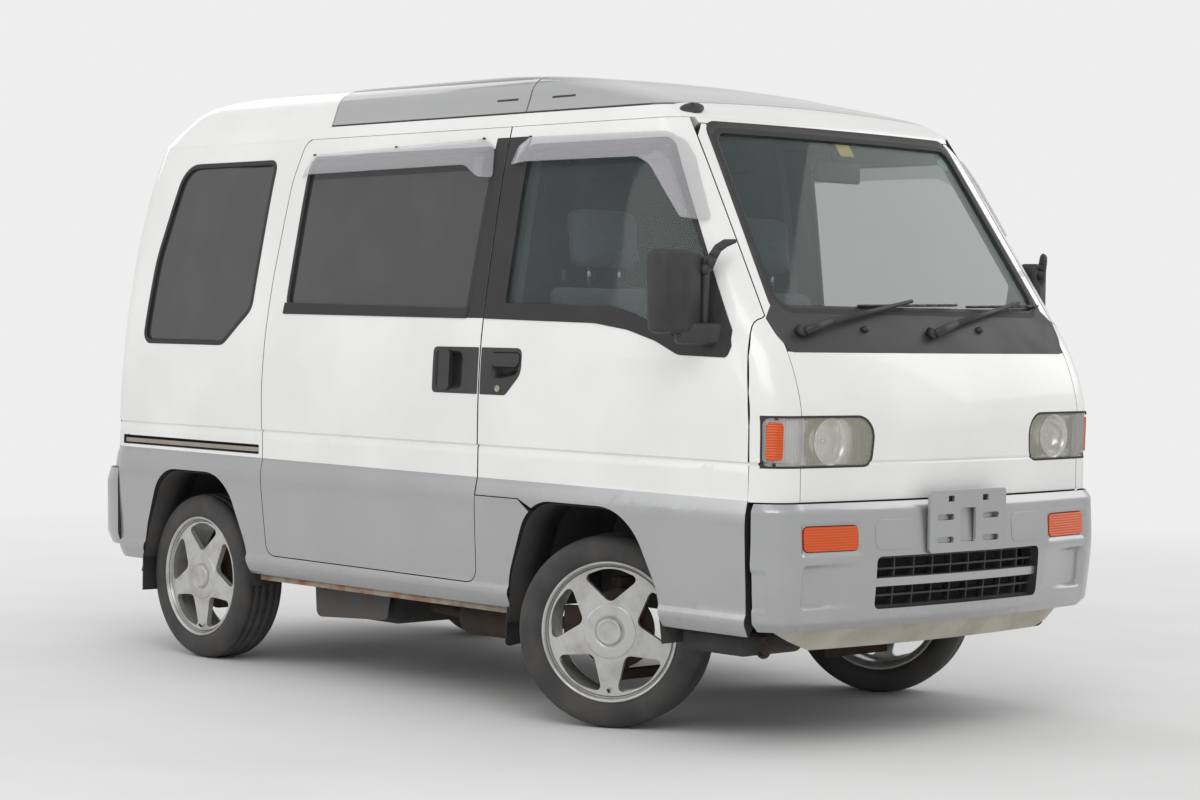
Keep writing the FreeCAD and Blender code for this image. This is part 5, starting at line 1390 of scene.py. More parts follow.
@dataclass
class Wheel:
    """One alloy wheel with its tyre, its face towards -X before it is placed."""

    corner: str
    side: Side
    axle_y: float
    steer: float
    centre_x: float = 578
    kingpin_x: float = 548
    radius: float = 266
    half: float = 75
    spokes: int = 5
    wall: tuple[Point, ...] = ((-68, 183), (-70, 192), (-74, 196.5), (-79, 203), (-82, 214), (-82.4, 226),
                               (-80.5, 238), (-77, 247), (-71, 255), (-64, 260.5), (-58, 263.2))
    groove_depth: float = 7

    def placed(self, bm: BMesh) -> BMesh:
        """The mesh moved from the origin to its hub."""
        matrix = Matrix.Translation(Vector((self.side.value * self.centre_x, self.axle_y, self.radius)) * MM)
        if self.side is Side.LEFT:
            matrix = matrix @ Matrix.Rotation(math.pi, 4, "Z")
        pivot = Matrix.Translation(Vector((self.side.value * self.kingpin_x, self.axle_y, 0)) * MM)
        matrix = pivot @ Matrix.Rotation(math.radians(self.steer), 4, "Z") @ pivot.inverted() @ matrix
        bmesh.ops.transform(bm, matrix=matrix, verts=bm.verts[:])
        return bm

    def face_depth(self, reach: float) -> float:
        """How far the spoked face lies behind the rim's edge at a radius."""
        return 11.5 - 3.5 * math.cos(min(reach / 175, 1) * math.pi)

    def face(self) -> BMesh:
        """Spoked face with its rounded windows."""
        window = rounded([(0, 78, 20), (83, 149, 13), (0, 181, 150), (-83, 149, 13)])
        holes = []
        for i in range(self.spokes):
            c = math.cos(2 * math.pi * i / self.spokes)
            s = math.sin(2 * math.pi * i / self.spokes)
            holes.append([(a * c - b * s, a * s + b * c) for a, b in window])
        return sheet(circle(177.5, 90), lambda a,
                     b: Vector((self.face_depth(math.hypot(a, b)) - self.half, a, b)) * MM, 12, True, holes)

    def build(self, finish: Finishes) -> None:
        """Make the wheel's pieces."""
        corner = self.corner
        body = "wheel_" + corner
        h = self.half
        x = self.face_depth(0) - h
        barrel = [(-h, 192.5), (-h, 190), (-h + 3, 187), (-h + 7, 184), (-h + 12, 180.5), (-h + 30, 177),
                  (h - 30, 172),
                  (h - 8, 178), (h - 2, 188), (h, 193.5), (h - 6, 194), (h - 8, 184), (h - 30, 176),
                  (-h + 30, 181.5), (-h + 8, 184.5), (-h + 6, 193.8), (-h + 2, 194)]
        cover = [(x + 8, 75), (x + 2.6, 74.8), (x + 1.6, 73.8), (x + 0.9, 70), (x - 0.8, 50), (x - 1.2, 40.5),
                 (x + 1, 39.5), (x + 1, 37.5), (x - 5.5, 36.5), (x - 8, 33.5), (x - 8.5, 30.5), (x - 7.5, 29),
                 (x - 8.1, 15), (x - 8.3, 0.01)]
        hub = [(x + 10, 60), (x + 40, 60), (x + 40, 30), (x + 10, 30)]
        foot = self.radius - self.groove_depth
        tread = []
        for groove in (-42, -15, 15, 42):
            tread += [(groove - 4, self.radius), (groove - 3, foot), (groove + 3, foot),
                      (groove + 4, self.radius)]
        tyre = [*self.wall, *tread, *[(-a, r) for a, r in reversed(self.wall)]]
        for name, bm, material, node, edge in (
            ("rim_face_" + corner, self.face(), finish.alloy, "rim_" + corner, 3.5),
            ("rim_barrel_" + corner, turned(barrel, 96, True), finish.alloy, "", 0),
            ("hub_cover_" + corner, turned(cover), finish.alloy, "", 0),
            ("hub_" + corner, turned(hub, 40, True), finish.alloy, "", 0),
            ("tyre_" + corner + "_skin", turned(tyre, 120, True), finish.tyre, "tyre_" + corner, 0),
            ("valve_" + corner, tube((-h + 12, 0, -166), (-h + 2, 0, -158), 3.5, 12), finish.rubber, "", 0),
        ):
            slot = "tyre_rubber" if material is finish.rubber else ""
            Piece(name, material, body, node, 18 if edge else 0, edge, segments=3,
                  slot=slot).make(self.placed(bm))


@dataclass
class SideTrim:
    """Black sashes, belt mouldings, door pockets with handles, and the sliding door's rail."""

    front_sash: Rows = ((-414.8, 1640, 0), (-414.8, 1120, 0), (-500, 1120, 0), (-508, 1640, 0))
    slide_sash: Rows = ((-409.2, 1640, 0), (-409.2, 1120, 0), (-334, 1120, 0), (-358, 1640, 0))
    front_belt: Rows = (
        (-415, 1119, 2), (-879, 1111, 300), (-1014, 1094, 200), (-1125, 1066, 200), (-1214, 1030, 80),
        (-1394, 1027, 16), (-1408, 1056, 12), (-1397, 1100, 0), (-1384, 1100, 0), (-1384, 1062, 10),
        (-1240, 1062, 80), (-1120, 1110, 150), (-950, 1158, 200), (-500, 1164, 0), (-415, 1150, 0))
    slide_belt: Rows = ((-334, 1119, 3), (-346, 1148, 3), (545, 1160, 3), (550, 1125, 3))
    mirror_patch: Rows = ((-1196, 1056, 6), (-1396, 1048, 8), (-1403, 1098, 0), (-1284, 1294, 6),
                          (-1262, 1290, 6))
    front_bowl: Rows = ((-466, 1026, 8), (-466, 940, 26), (-580, 960, 30), (-584, 1026, 8))
    slide_bowl: Rows = ((-214, 914, 10), (-214, 1026, 10), (-338, 1026, 22), (-338, 914, 22))
    flap: Rows = ((-470, 1022, 6), (-470, 984, 12), (-584, 984, 16), (-588, 1022, 8))
    grip: Rows = ((-236, 911, 9), (-236, 1029, 9), (-286, 1029, 14), (-286, 911, 14))
    rail: Rows = ((654, 689, 2), (1416, 690, 2), (1416, 704, 2), (654, 703, 2))

    def laid(self, side: Side, name: str, rows: Rows, out: float, material: Material, body: str, wall: float,
             edge: float, spacing: float = 26, segments: int = 2) -> None:
        """Lay one outline on a side, standing out from the skin, and make it a piece."""
        bm = side_sheet(side, rounded(rows), -out, spacing)
        Piece(name + "_" + side.word, material, body, "", wall, edge, segments=segments).make(bm)

    def pocket(self, side: Side, finish: Finishes, name: str, rows: Rows, bowl: Rows, body: str) -> None:
        """One handle pocket: its black plate and the bowl behind the handle."""
        edge = rounded(bowl)
        plate = side_sheet(side, rounded(rows), -1.2, 20, (edge,))
        Piece(name + "_plate_" + side.word, finish.black, body, "", 4, 1.2).make(plate)
        recess = bowl_mesh(edge, lambda inset: on_side(BODY, side, inset - 1), 30, 18, 7, side is Side.RIGHT)
        Piece(name + "_bowl_" + side.word, finish.black, body, "", 2).make(recess)

    def build(self, finish: Finishes) -> None:
        """Trim both sides."""
        for side in Side:
            door = "door_" + side.word
            for name, rows, body, out, wall in (
                ("front_sash", self.front_sash, door, 0.8, 2.5),
                ("slide_sash", self.slide_sash, "root", 0.8, 2.5),
                ("front_belt", self.front_belt, door, 2.2, 4), ("slide_belt", self.slide_belt, "root", 3, 5),
                ("mirror_patch", self.mirror_patch, door, 3, 8),
            ):
                self.laid(side, name, rows, out, finish.rubber, body, wall, 1.4)
            self.pocket(side, finish, "front_handle", FRONT_POCKET, self.front_bowl, door)
            self.pocket(side, finish, "slide_handle", SLIDING_POCKET, self.slide_bowl, "root")
            self.laid(side, "front_flap", self.flap, 5, finish.black, door, 11, 3, 12, 3)
            self.laid(side, "slide_grip", self.grip, 8, finish.black, "root", 13, 3.5, 12, 3)
            lock = turned([(-4, 0.01), (-4, 5), (-5, 5.5), (-5, 8.5), (-3, 10), (3, 10)], 32)
            lock = moved(lock, *BODY.from_side(-496, 921), 921)
            Piece("door_lock_" + side.word, finish.rail, door).make(sided(lock, side))
            # The rail's groove is lined near-black as painted shade in the recess.
            groove = bowl_mesh(grown(rounded(RAIL_GROOVE), 0.5), lambda inset,
                               side=side: on_side(BODY, side, inset), 24, 6, 9, side is Side.RIGHT)
            Piece("rail_groove_" + side.word, finish.groove, wall=2).make(groove)
            self.laid(side, "slide_rail", self.rail, -5, finish.rail, "root", 8, 1.5, 40)


@dataclass
class Visors:
    """Smoked wind deflectors over the side windows."""

    stand_off: float = 22
    reach: float = 60
    front: Rows = (
        (-443, 1559, 6), (-464, 1613, 30), (-505, 1638, 30), (-1062, 1633, 60), (-1126, 1606, 50),
        (-1167, 1561, 40),
        (-1268, 1385, 8), (-1186, 1397, 8), (-1040, 1543, 80), (-985, 1565, 60), (-531, 1566, 40))
    slide: Rows = (
        (556, 1546, 8), (506, 1621, 40), (-300, 1641, 60), (-357, 1617, 30), (-373, 1526, 6),
        (-325, 1529, 30), (-262, 1566, 70), (502, 1559, 40))

    def visor(self, name: str, rows: Rows, wall_points: int, side: Side, body: str, finish: Finishes) -> None:
        """One visor, standing further off the further it is from its fixed edge.

        Args:
            name: Name of the piece.
            rows: Its outline.
            wall_points: How many rows, from the first, run along the fixed edge.
            side: Side of the van.
            body: The body that it rides on.
            finish: The van's finishes.
        """
        fixed = [(a, b) for a, b, _ in rows[:wall_points]]

        def place(a: float, z: float) -> Vector:
            """Place of one point of the visor."""
            share = min(edge_distance(fixed, a, z, False) / self.reach, 1)
            x, y = BODY.from_side(a, z, -6 - self.stand_off * math.sin(share * HALF_TURN))
            return Vector((-side.value * x, y, z)) * MM

        Piece(name + "_" + side.word, finish.smoke, body, wall=3, edge=1).make(
            sheet(rounded(rows), place, 14, side is Side.RIGHT))
        (_, (a0, z0), (a1, z1)) = fixed[:3]
        feet = joined(*[tube((*BODY.from_side(a, z, 4), z), (*BODY.from_side(a, z, -7), z), 3.5)
                        for a, z in ((a0, z0), (a1, z1), ((a0 + a1) / 2, (z0 + z1) / 2))])
        Piece(name + "_clips_" + side.word, finish.black, body).make(sided(feet, side))

    def build(self, finish: Finishes) -> None:
        """Make all four visors."""
        for side in Side:
            self.visor("front_visor", self.front, 7, side, "door_" + side.word, finish)
            self.visor("slide_visor", self.slide, 5, side, "root", finish)


@dataclass
class DoorMirror:
    """A door mirror: head, glass, neck, base arm and the curved stalk beside it."""

    head: Rows = ((-848, -1238, 20), (-708, -1263, 14), (-702, -1326, 22), (-768, -1333, 60),
                  (-840, -1300, 36))
    head_z: Point = (1087, 1307)
    foot: Rows = ((-778, -1322, 14), (-776, -1282, 14), (-688, -1296, 30), (-646, -1340, 10),
                  (-648, -1392, 14), (-700, -1350, 30))
    foot_z: Point = (1060, 1116)
    pane: Rows = ((-824, 1114, 16), (-724, 1114, 16), (-722, 1282, 20), (-824, 1282, 20))
    stalk_route: tuple[Row, ...] = ((-712, -1322, 1250), (-697, -1334, 1262), (-690, -1342, 1288),
                                    (-682, -1352, 1310), (-668, -1364, 1323), (-648, -1378, 1329))
    stalk_radii: tuple[float, ...] = (13, 13.5, 13, 12, 11, 6)
    fold: float = 24
    fold_at: Point = (-700, -1335)

    def block(self, outline: list[Point], z0: float, z1: float, edge: float) -> BMesh:
        """An upright block over a plan outline, its top and bottom edges rounded."""
        bm = bmesh.new()
        face = bm.faces.new([bm.verts.new((x * MM, y * MM, z0 * MM)) for x, y in outline])
        grow = bmesh.ops.extrude_face_region(bm, geom=[face])
        top = [item for item in grow["geom"] if isinstance(item, bmesh.types.BMVert)]
        bmesh.ops.translate(bm, verts=top, vec=(0, 0, (z1 - z0) * MM))
        bmesh.ops.recalc_face_normals(bm, faces=bm.faces[:])
        level = [rim for rim in bm.edges if abs(rim.verts[0].co.z - rim.verts[1].co.z) < 1e-6]
        bevelled(bm, level, edge, 5, clamp_overlap=True)
        return bm

    def shell(self) -> BMesh:
        """The head, narrower towards its foot."""
        low, high = self.head_z
        bm = self.block(rounded(self.head), low, high, 26)
        for vert in bm.verts:
            if vert.co.x / MM < -780:
                vert.co.x += (1 - (vert.co.z / MM - low) / (high - low)) ** 2 * 10 * MM
        return bm

    def glass(self) -> BMesh:
        """The mirror's glass, set in its rear face."""
        (x0, y0, _), (x1, y1, _) = self.head[:2]
        slope = (y1 - y0) / (x1 - x0)
        return sheet(rounded(self.pane), lambda a, z: Vector((a, y0 + slope * (a - x0) + 1.2, z)) * MM, 30)

    def stalk(self) -> BMesh:
        """Curved stalk from the head's top corner towards the pillar."""
        runs = []
        for start, end, radius, tip in zip(self.stalk_route, self.stalk_route[1:], self.stalk_radii,
                                           self.stalk_radii[1:]):
            ball = bmesh.new()
            bmesh.ops.create_icosphere(ball, subdivisions=3, radius=tip * MM,
                                       matrix=Matrix.Translation(Vector(end) * MM))
            runs += [tube(start, end, radius, 20, tip), ball]
        return joined(*runs)

    def build(self, finish: Finishes) -> None:
        """Make both mirrors, the left one folded back."""
        hinge = Matrix.Translation(Vector((-self.fold_at[0], self.fold_at[1], 0)) * MM)
        turn = hinge @ Matrix.Rotation(math.radians(self.fold), 4, "Z") @ hinge.inverted()
        for side in Side:
            neck = boxes((-708, -688, -1334, -1300, 1068, 1288), bevel=8)
            for name, bm, folds in (
                ("head", joined(self.shell(), neck), True),
                ("foot", self.block(rounded(self.foot), *self.foot_z, 16), False),
                ("glass", self.glass(), True), ("stalk", self.stalk(), False),
            ):
                bm = sided(bm, side)
                if side is Side.LEFT and folds:
                    bmesh.ops.transform(bm, matrix=turn, verts=bm.verts[:])
                glass = name == "glass"
                Piece("mirror_" + name + "_" + side.word, finish.chrome if glass else finish.black,
                      "door_" + side.word, "mirror_" + side.word if name == "head" else "",
                      -2 if glass else 0, slot="black_plastic").make(bm)


@dataclass
class ScreenTrim:
    """Cowl, wipers, washer nozzles and the small stickers behind the windshield."""

    cowl: Rows = (
        (-568, 1044, 16), (568, 1044, 16), (593, 1089, 40), (602, 1131, 4), (566, 1166, 4), (-566, 1166, 4),
        (-602, 1131, 4), (-593, 1089, 40))
    pivots: tuple[Point, ...] = ((-512, 1099), (-27, 1097))
    arms: tuple[Point, ...] = ((-60, 1184), (440, 1188))
    blades: tuple[tuple[Point, Point], ...] = (((-262, 1168), (146, 1176)), ((190, 1172), (560, 1180)))
    blade_runs: int = 8
    nozzles: tuple[Point, ...] = ((-275, 1106), (198, 1108))
    disc: tuple[float, float, float, float] = (455, 1591, 23, 18)

    def on_screen(self, x: float, z: float, off: float) -> Vector:
        """A place off the windshield or the cowl, in millimetres."""
        return Vector((*BODY.around(End.NOSE, x, z, -off), z))

    def wiper(self, pivot: Point, tip: Point, blade: tuple[Point, Point]) -> BMesh:
        """One wiper: pivot cap, arm, blade frame and rubber."""
        high = self.on_screen(*pivot, 24)
        bend = self.on_screen(pivot[0] + (tip[0] - pivot[0]) * 0.22, pivot[1] + (tip[1] - pivot[1]) * 0.3, 27)
        parts = [tube(self.on_screen(*pivot, 2), high, 17, 24, 13), tube(high, bend, 12, 14, 10),
                 tube(bend, self.on_screen(*tip, 22), 9, 14, 5)]
        (x0, z0), (x1, z1) = blade
        shares = [k / self.blade_runs for k in range(self.blade_runs + 1)]
        for one, two in zip(shares, shares[1:]):
            for radius, height, arch in ((3.6, 6, 14), (3, 3.5, 0)):
                start, stop = [self.on_screen(x0 + (x1 - x0) * share, z0 + (z1 - z0) * share,
                                              arch * math.sin(math.pi * share) + height)
                                              for share in (one, two)]
                parts.append(tube(start, stop, radius, 8))
        return joined(*parts)

    def build(self, finish: Finishes) -> None:
        """Make the trim round the windshield."""
        Piece("cowl", finish.black, wall=2, edge=0.8).make(sheet(rounded(self.cowl), on_front(BODY, -1), 24))
        for word, *parts in zip(("right", "left"), self.pivots, self.arms, self.blades):
            Piece("wiper_" + word, finish.black).make(self.wiper(*parts))
        domes = []
        for x, z in self.nozzles:
            dome = bmesh.new()
            at = Matrix.Translation(self.on_screen(x, z, 3) * MM)
            bmesh.ops.create_uvsphere(dome, u_segments=20, v_segments=12, radius=13 * MM,
                                      matrix=at @ Matrix.Diagonal((1.1, 0.9, 0.7, 1)))
            domes.append(dome)
        Piece("washer_nozzles", finish.black).make(joined(*domes))
        x, z, wide, tall = self.disc
        disc = [(x + wide * math.cos(a * 0.2618), z + tall * math.sin(a * 0.2618)) for a in range(24)]
        for name, material, outline in (("sticker_yellow", finish.yellow, rectangle(-24, 34, 1590, 1634, 2)),
                                        ("sticker_green", finish.green, disc)):
            Piece(name, material, wall=0.4).make(sheet(outline, on_front(BODY, 13), 20))


@dataclass
class RoofTrim:
    """Antenna base and the clips along the roof glass."""

    antenna: Row = (-503, -1066, 1696)
    clips: tuple[Point, ...] = ((-395, -300), (-640, -540))
    clip_z: float = 1752

    def build(self, finish: Finishes) -> None:
        """Make the roof's small pieces."""
        base = bmesh.new()
        at = Vector(self.antenna)
        tilt = Matrix.Rotation(math.radians(24), 4, "X") @ Matrix.Rotation(math.radians(-16), 4, "Y")
        bmesh.ops.create_uvsphere(base, u_segments=36, v_segments=18, radius=1,
                                  matrix=Matrix.Translation(at * MM) @ tilt @ Matrix.Diagonal((0.040, 0.026,
                                                                                               0.014, 1)))
        hole = tube(at, at + Vector((0, -6, 17)), 6)
        Piece("antenna_base", finish.black).make(joined(base, hole))
        z = self.clip_z
        slots = []
        for side in (-1, 1):
            x = side * (ROOF.section(z)[0] + 1)
            low, high = sorted((x, x - side * 9))
            slots += [boxes((low, high, y0, y1, z - 5, z + 4), bevel=2.5) for y0, y1 in self.clips]
        Piece("roof_clips", finish.black).make(joined(*slots))


@dataclass
class Seat:
    """Cushion, back and head rest of one seat, in cloth."""

    name: str
    x: Point
    y: Point
    top: float
    back_top: float
    thick: float = 132
    back_thick: float = 104
    lean: float = 90
    rest: bool = True
    voxel: float = 11
    pressure: float = 4
    frames: int = 15
    fill: float = 0.6

    def pad(self, name: str, low: Row, high: Row, lean: float, finish: Finishes, cap: float) -> None:
        """One stuffed pad between two corners, swollen by a cloth pass.

        Args:
            name: Name of the pad.
            low: Lower corner, in millimetres.
            high: Upper corner, in millimetres.
            lean: How far its top lies behind its foot.
            finish: The van's finishes.
            cap: Furthest that the cloth may move.
        """
        shrink = Vector((cap, cap, cap)) * 0.7
        low = Vector(low) + shrink
        high = Vector(high) - shrink
        bm = boxes((low.x, high.x, low.y, high.y, low.z, high.z))
        bevelled(bm, bm.edges[:], 28, 4)
        for vert in bm.verts:
            vert.co.y += lean * (vert.co.z / MM - low.z) / (high.z - low.z) * MM
        piece = Piece(self.name + "_" + name, finish.cloth, node="seats").make(bm)
        self.swell(piece, cap)

    def swell(self, piece: bpy.types.Object, cap: float) -> None:
        """Blow the pad up as cloth and keep each point within the cap."""
        remesh = piece.modifiers.new("remesh", "REMESH")
        remesh.mode = "VOXEL"
        remesh.voxel_size = self.voxel * MM
        remesh.use_smooth_shade = True
        self.apply(piece)
        start = [vert.co.copy() for vert in piece.data.vertices]
        cloth = piece.modifiers.new("cloth", "CLOTH").settings
        cloth.use_pressure = True
        cloth.uniform_pressure_force = self.pressure
        cloth.effector_weights.gravity = 0
        for number in range(1, self.frames + 1):
            bpy.context.scene.frame_set(number)
        self.apply(piece)
        bpy.context.scene.frame_set(1)
        limit = cap * MM
        for vert, was in zip(piece.data.vertices, start):
            move = vert.co - was
            if move.length > limit:
                vert.co = was + move * (limit / move.length)

    def apply(self, piece: bpy.types.Object) -> None:
        """Turn the piece's modifiers into its mesh."""
        view = bpy.context.evaluated_depsgraph_get()
        mesh = bpy.data.meshes.new_from_object(piece.evaluated_get(view))
        piece.modifiers.clear()
        old = piece.data
        piece.data = mesh
        bpy.data.meshes.remove(old)

    def build(self, finish: Finishes) -> None:
        """Make the seat."""
        x0, x1 = self.x
        y0, y1 = self.y
        foot = self.top - self.thick
        top = self.back_top
        back = y1 + self.lean
        self.pad("cushion", (x0, y0, foot), (x1, y1 - 112, self.top), 0, finish, 16)
        self.pad("back", (x0 + 22, y1 - self.back_thick, foot + 24), (x1 - 22, y1, top), self.lean, finish,
                 14)
        if self.rest:
            middle = (x0 + x1) / 2
            self.pad("head_rest", (middle - 128, back - 98, top + 30), (middle + 128, back - 6, top + 212),
                     20, finish, 12)
            posts = [tube((middle + off, back - 48, top - 20), (middle + off, back - 46, top + 50), 6)
                     for off in (-60, 60)]
            Piece(self.name + "_posts", finish.chrome, slot="alloy").make(joined(*posts))


@dataclass
class Interior:
    """Seats, steering wheel, instrument hood, inner mirror and door linings."""

    wheel_at: Row = (-330, -1010, 1040)
    wheel_tilt: float = 38
    wheel_radius: float = 186
    grip: float = 13
    front_lining: Rows = ((-450, 640, 30), (-450, 1090, 40), (-950, 1080, 200), (-1230, 1000, 80),
                          (-1370, 990, 40), (-1370, 660, 40))
    sliding_lining: Rows = ((-370, 400, 40), (-370, 1100, 40), (560, 1100, 40), (560, 400, 60))

    def steering_wheel(self, finish: Finishes) -> None:
        """Rim, two spokes and the padded centre."""
        rim = turned([(x, self.wheel_radius + r) for x, r in circle(self.grip, 16)], 72, True)
        pad = boxes((-34, -2, -62, 62, -58, 46), bevel=14)
        spokes = boxes((-22, -6, -180, 180, -16, 14), (-22, -6, -16, 16, -180, -40), bevel=6)
        whole = joined(rim, pad, spokes)
        turn = Matrix.Rotation(math.radians(-self.wheel_tilt), 4, "X") @ Matrix.Rotation(HALF_TURN, 4, "Y")
        place = Matrix.Translation(Vector(self.wheel_at) * MM)
        bmesh.ops.transform(whole, matrix=place @ turn, verts=whole.verts[:])
        Piece("steering_wheel_skin", finish.black, "steering_wheel_body", "steering_wheel").make(whole)

    def front_pieces(self, finish: Finishes) -> None:
        """Inner mirror on its stem, instrument hood with the centre vents, and two dials."""
        head = boxes((-92, 92, -1158, -1136, 1516, 1576), bevel=9)
        Piece("inner_mirror", finish.black).make(joined(head, tube((0, -1140, 1566), (0, -1122, 1640), 7)))
        hood = boxes((-460, -200, -1290, -1170, 1050, 1128), bevel=24)
        vents = boxes((-110, 110, -1190, -1146, 1010, 1062), bevel=6)
        Piece("dash_hood", finish.black, slot="interior_trim").make(joined(hood, vents))
        dials = []
        for x in (-375, -285):
            dial = turned([(0, 0.01), (0, 44), (4, 46), (4, 50)], 40)
            bmesh.ops.rotate(dial, verts=dial.verts[:], cent=(0, 0, 0),
                             matrix=Matrix.Rotation(-HALF_TURN, 3, "Z"))
            dials.append(moved(dial, x, -1166, 1088))
        Piece("dials", finish.trim).make(joined(*dials))

    def linings(self, finish: Finishes) -> None:
        """Door linings with armrest, pocket and handle, on the front and the sliding doors."""
        for side in Side:
            for name, rows, body, y0, y1 in (("front", self.front_lining, "door_" + side.word, -960, -560),
                                             ("sliding", self.sliding_lining, "root", -280, 120)):
                Piece(name + "_lining_" + side.word, finish.pillar_trim, body, wall=7, edge=2.5).make(
                    side_sheet(side, rounded(rows), 42.5, 40))
                rest = boxes((-642, -602, y0, y1, 800, 846), (-642, -622, y0, y1, 660, 720),
                             (-642, -624, y0 + 40, y0 + 110, 930, 960), bevel=8)
                Piece(name + "_armrest_" + side.word, finish.trim, body).make(sided(rest, side))

    def build(self, finish: Finishes) -> None:
        """Make the interior."""
        for side, x in ((Side.RIGHT, (-560, -90)), (Side.LEFT, (90, 560))):
            Seat("front_seat_" + side.word, x, (-960, -580), 770, 1235).build(finish)
        Seat("bench", (-560, 560), (60, 410), 800, 1250, rest=False).build(finish)
        self.steering_wheel(finish)
        self.front_pieces(finish)
        self.linings(finish)


@dataclass
class Underside:
    """Tank, shield plate, silencer, flaps, arch liners, sill flanges and towing eye."""

    flange_x: float = 650
    liner_x: float = 684
    liner_width: float = 126
    liner_foot: float = 262
    shield: Rows = ((142, 283, 4), (150, 196, 16), (500, 176, 30), (520, 272, 4))
    flap: Rows = ((-676, 190, 14), (-676, 420, 10), (-590, 420, 10), (-584, 200, 14))

    def exhaust(self) -> BMesh:
        """Silencer with the pipes before and behind it."""
        silencer = tube((-430, -350, 226), (-430, -90, 226), 56, 36)
        ends = [edge for edge in silencer.edges if edge.is_manifold and edge.calc_face_angle(0) > 1]
        bevelled(silencer, ends, 14, 4)
        return joined(silencer, tube((-430, -90, 226), (-200, 900, 236), 19),
                      tube((-430, -350, 226), (-360, -640, 250), 19))

    def liner(self, rows: Rows) -> BMesh:
        """Inner lining of a wheel arch on the right side."""
        arch = grown(rounded(rows), -4.5)[1:-1]
        ends = []
        for (y, z), (end_y, end_z, _) in ((arch[0], rows[0]), (arch[-1], rows[-1])):
            ends.append((y + (end_y - y) * (z - self.liner_foot) / (z - end_z), self.liner_foot))
        liner = bmesh.new()
        verts = [liner.verts.new(Vector((-self.liner_x, y, z)) * MM) for y, z in (ends[0], *arch, ends[1])]
        edges = [liner.edges.new(pair) for pair in zip(verts, verts[1:])]
        wide = bmesh.ops.extrude_edge_only(liner, edges=edges)["geom"]
        bmesh.ops.translate(liner, verts=[v for v in wide if isinstance(v, bmesh.types.BMVert)],
                            vec=(self.liner_width * MM, 0, 0))
        return liner

    def build(self, finish: Finishes) -> None:
        """Make the pieces under the floor."""
        Piece("fuel_tank", finish.underbody).make(boxes((-520, -140, 160, 560, 176, 300), bevel=34))
        Piece("shield_plate", finish.engine, wall=3, edge=1).make(
            sheet(rounded(self.shield), lambda a, z: Vector((-556 - (283 - z) * 0.1, a, z)) * MM, 30, True))
        Piece("shield_straps", finish.iron).make(
            boxes((-560, -548, 180, 200, 270, 300), (-560, -548, 460, 480, 262, 300)))
        Piece("silencer", finish.iron).make(self.exhaust())
        x = -self.flange_x
        for side in Side:
            for name, bm, material, wall, edge in (
                ("sill_flange_", boxes((x, x + 3, -538, 684, 282, 304)), finish.rust, 0, 0),
                ("front_flap_guard_", sheet(rounded(self.flap), lambda a, z: Vector(
                    (a, -540 + (420 - z) ** 2 * 0.0002, z)) * MM, 30), finish.rubber, 4, 1),
                ("front_tray_", boxes((-636, -400, -1425, -1188, 246, 312), bevel=22), finish.underbody, 0,
                 0),
                ("front_liner_", self.liner(FRONT_ARCH), finish.underbody, 2.5, 0),
                ("rear_liner_", self.liner(REAR_ARCH), finish.underbody, 2.5, 0),
                ("flap_bracket_", boxes((-616, -600, -548, -536, 330, 430)), finish.iron, 0, 0),
            ):
                Piece(name + side.word, material, wall=wall, edge=edge).make(sided(bm, side))
        eye = turned([(x, 22 + r) for x, r in circle(6, 10)], 32, True)
        stay = boxes((-578, -562, -1442, -1300, 284, 300), bevel=3)
        Piece("towing_eye", finish.iron).make(joined(moved(eye, -570, -1432, 268), stay))


@dataclass
class GateTrim:
    """Plate recess, handle, lamp bar and wiper of the tailgate."""

    body: str = "tailgate_body"

    def on_gate(self, x: float, z: float, off: float) -> Vector:
        """A place off the tailgate, in millimetres."""
        return Vector((*BODY.around(End.TAIL, x, z, -off), z))

    def build(self, finish: Finishes) -> None:
        """Make the tailgate's trim."""
        recess = bowl_mesh(grown(rounded(PLATE_RECESS), 0.6), lambda inset: on_rear(BODY, inset), 20, 16, 14,
                           True)
        Piece("plate_recess", finish.white, self.body, wall=2).make(recess)
        for name, material, outline, out, spacing, wall, edge, segments in (
            ("plate_lamp_bar", finish.black, (-190, 190, 872, 916, 12), 10, 24, 20, 4, 3),
            ("plate_blank", finish.bracket, (-165, 165, 700, 862, 6), -15, 30, 2, 0.5, 2),
            ("gate_handle", finish.black, (-60, 60, 930, 965, 10), 6, 16, 12, 3, 3),
        ):
            Piece(name, material, self.body, "", wall, edge, segments=segments).make(
                sheet(rectangle(*outline), on_rear(BODY, -out), spacing, True))
        bend = self.on_gate(0, 1012, 24)
        Piece("gate_wiper", finish.black, self.body).make(joined(
            tube(self.on_gate(0, 1005, 6), bend, 16, 24, 12),
            tube(bend, self.on_gate(-250, 1130, 20), 7, 12, 4),
            tube(self.on_gate(-90, 1052, 7), self.on_gate(-420, 1210, 7), 5, 10)))


@dataclass
class CadNodes:
    """Frame nodes whose own shape shows, with their finishes."""

    def build(self, finish: Finishes) -> None:
        """Give each shown node its finish."""
        for material, names in (
            (finish.underbody, ("floor_pan", "wheel_housings", "chassis_rails")),
            (finish.rubber, ("mud_flaps",)),
            (finish.trim, ("door_pillars", "seat_frames", "dashboard")), (finish.engine, ("engine",)),
            (finish.iron, ("front_suspension", "rear_axle", "knuckle_right", "knuckle_left")),
        ):
            for name in names:
                shown = frame["nodes"][name].data.materials
                shown.clear()
                shown.append(material)


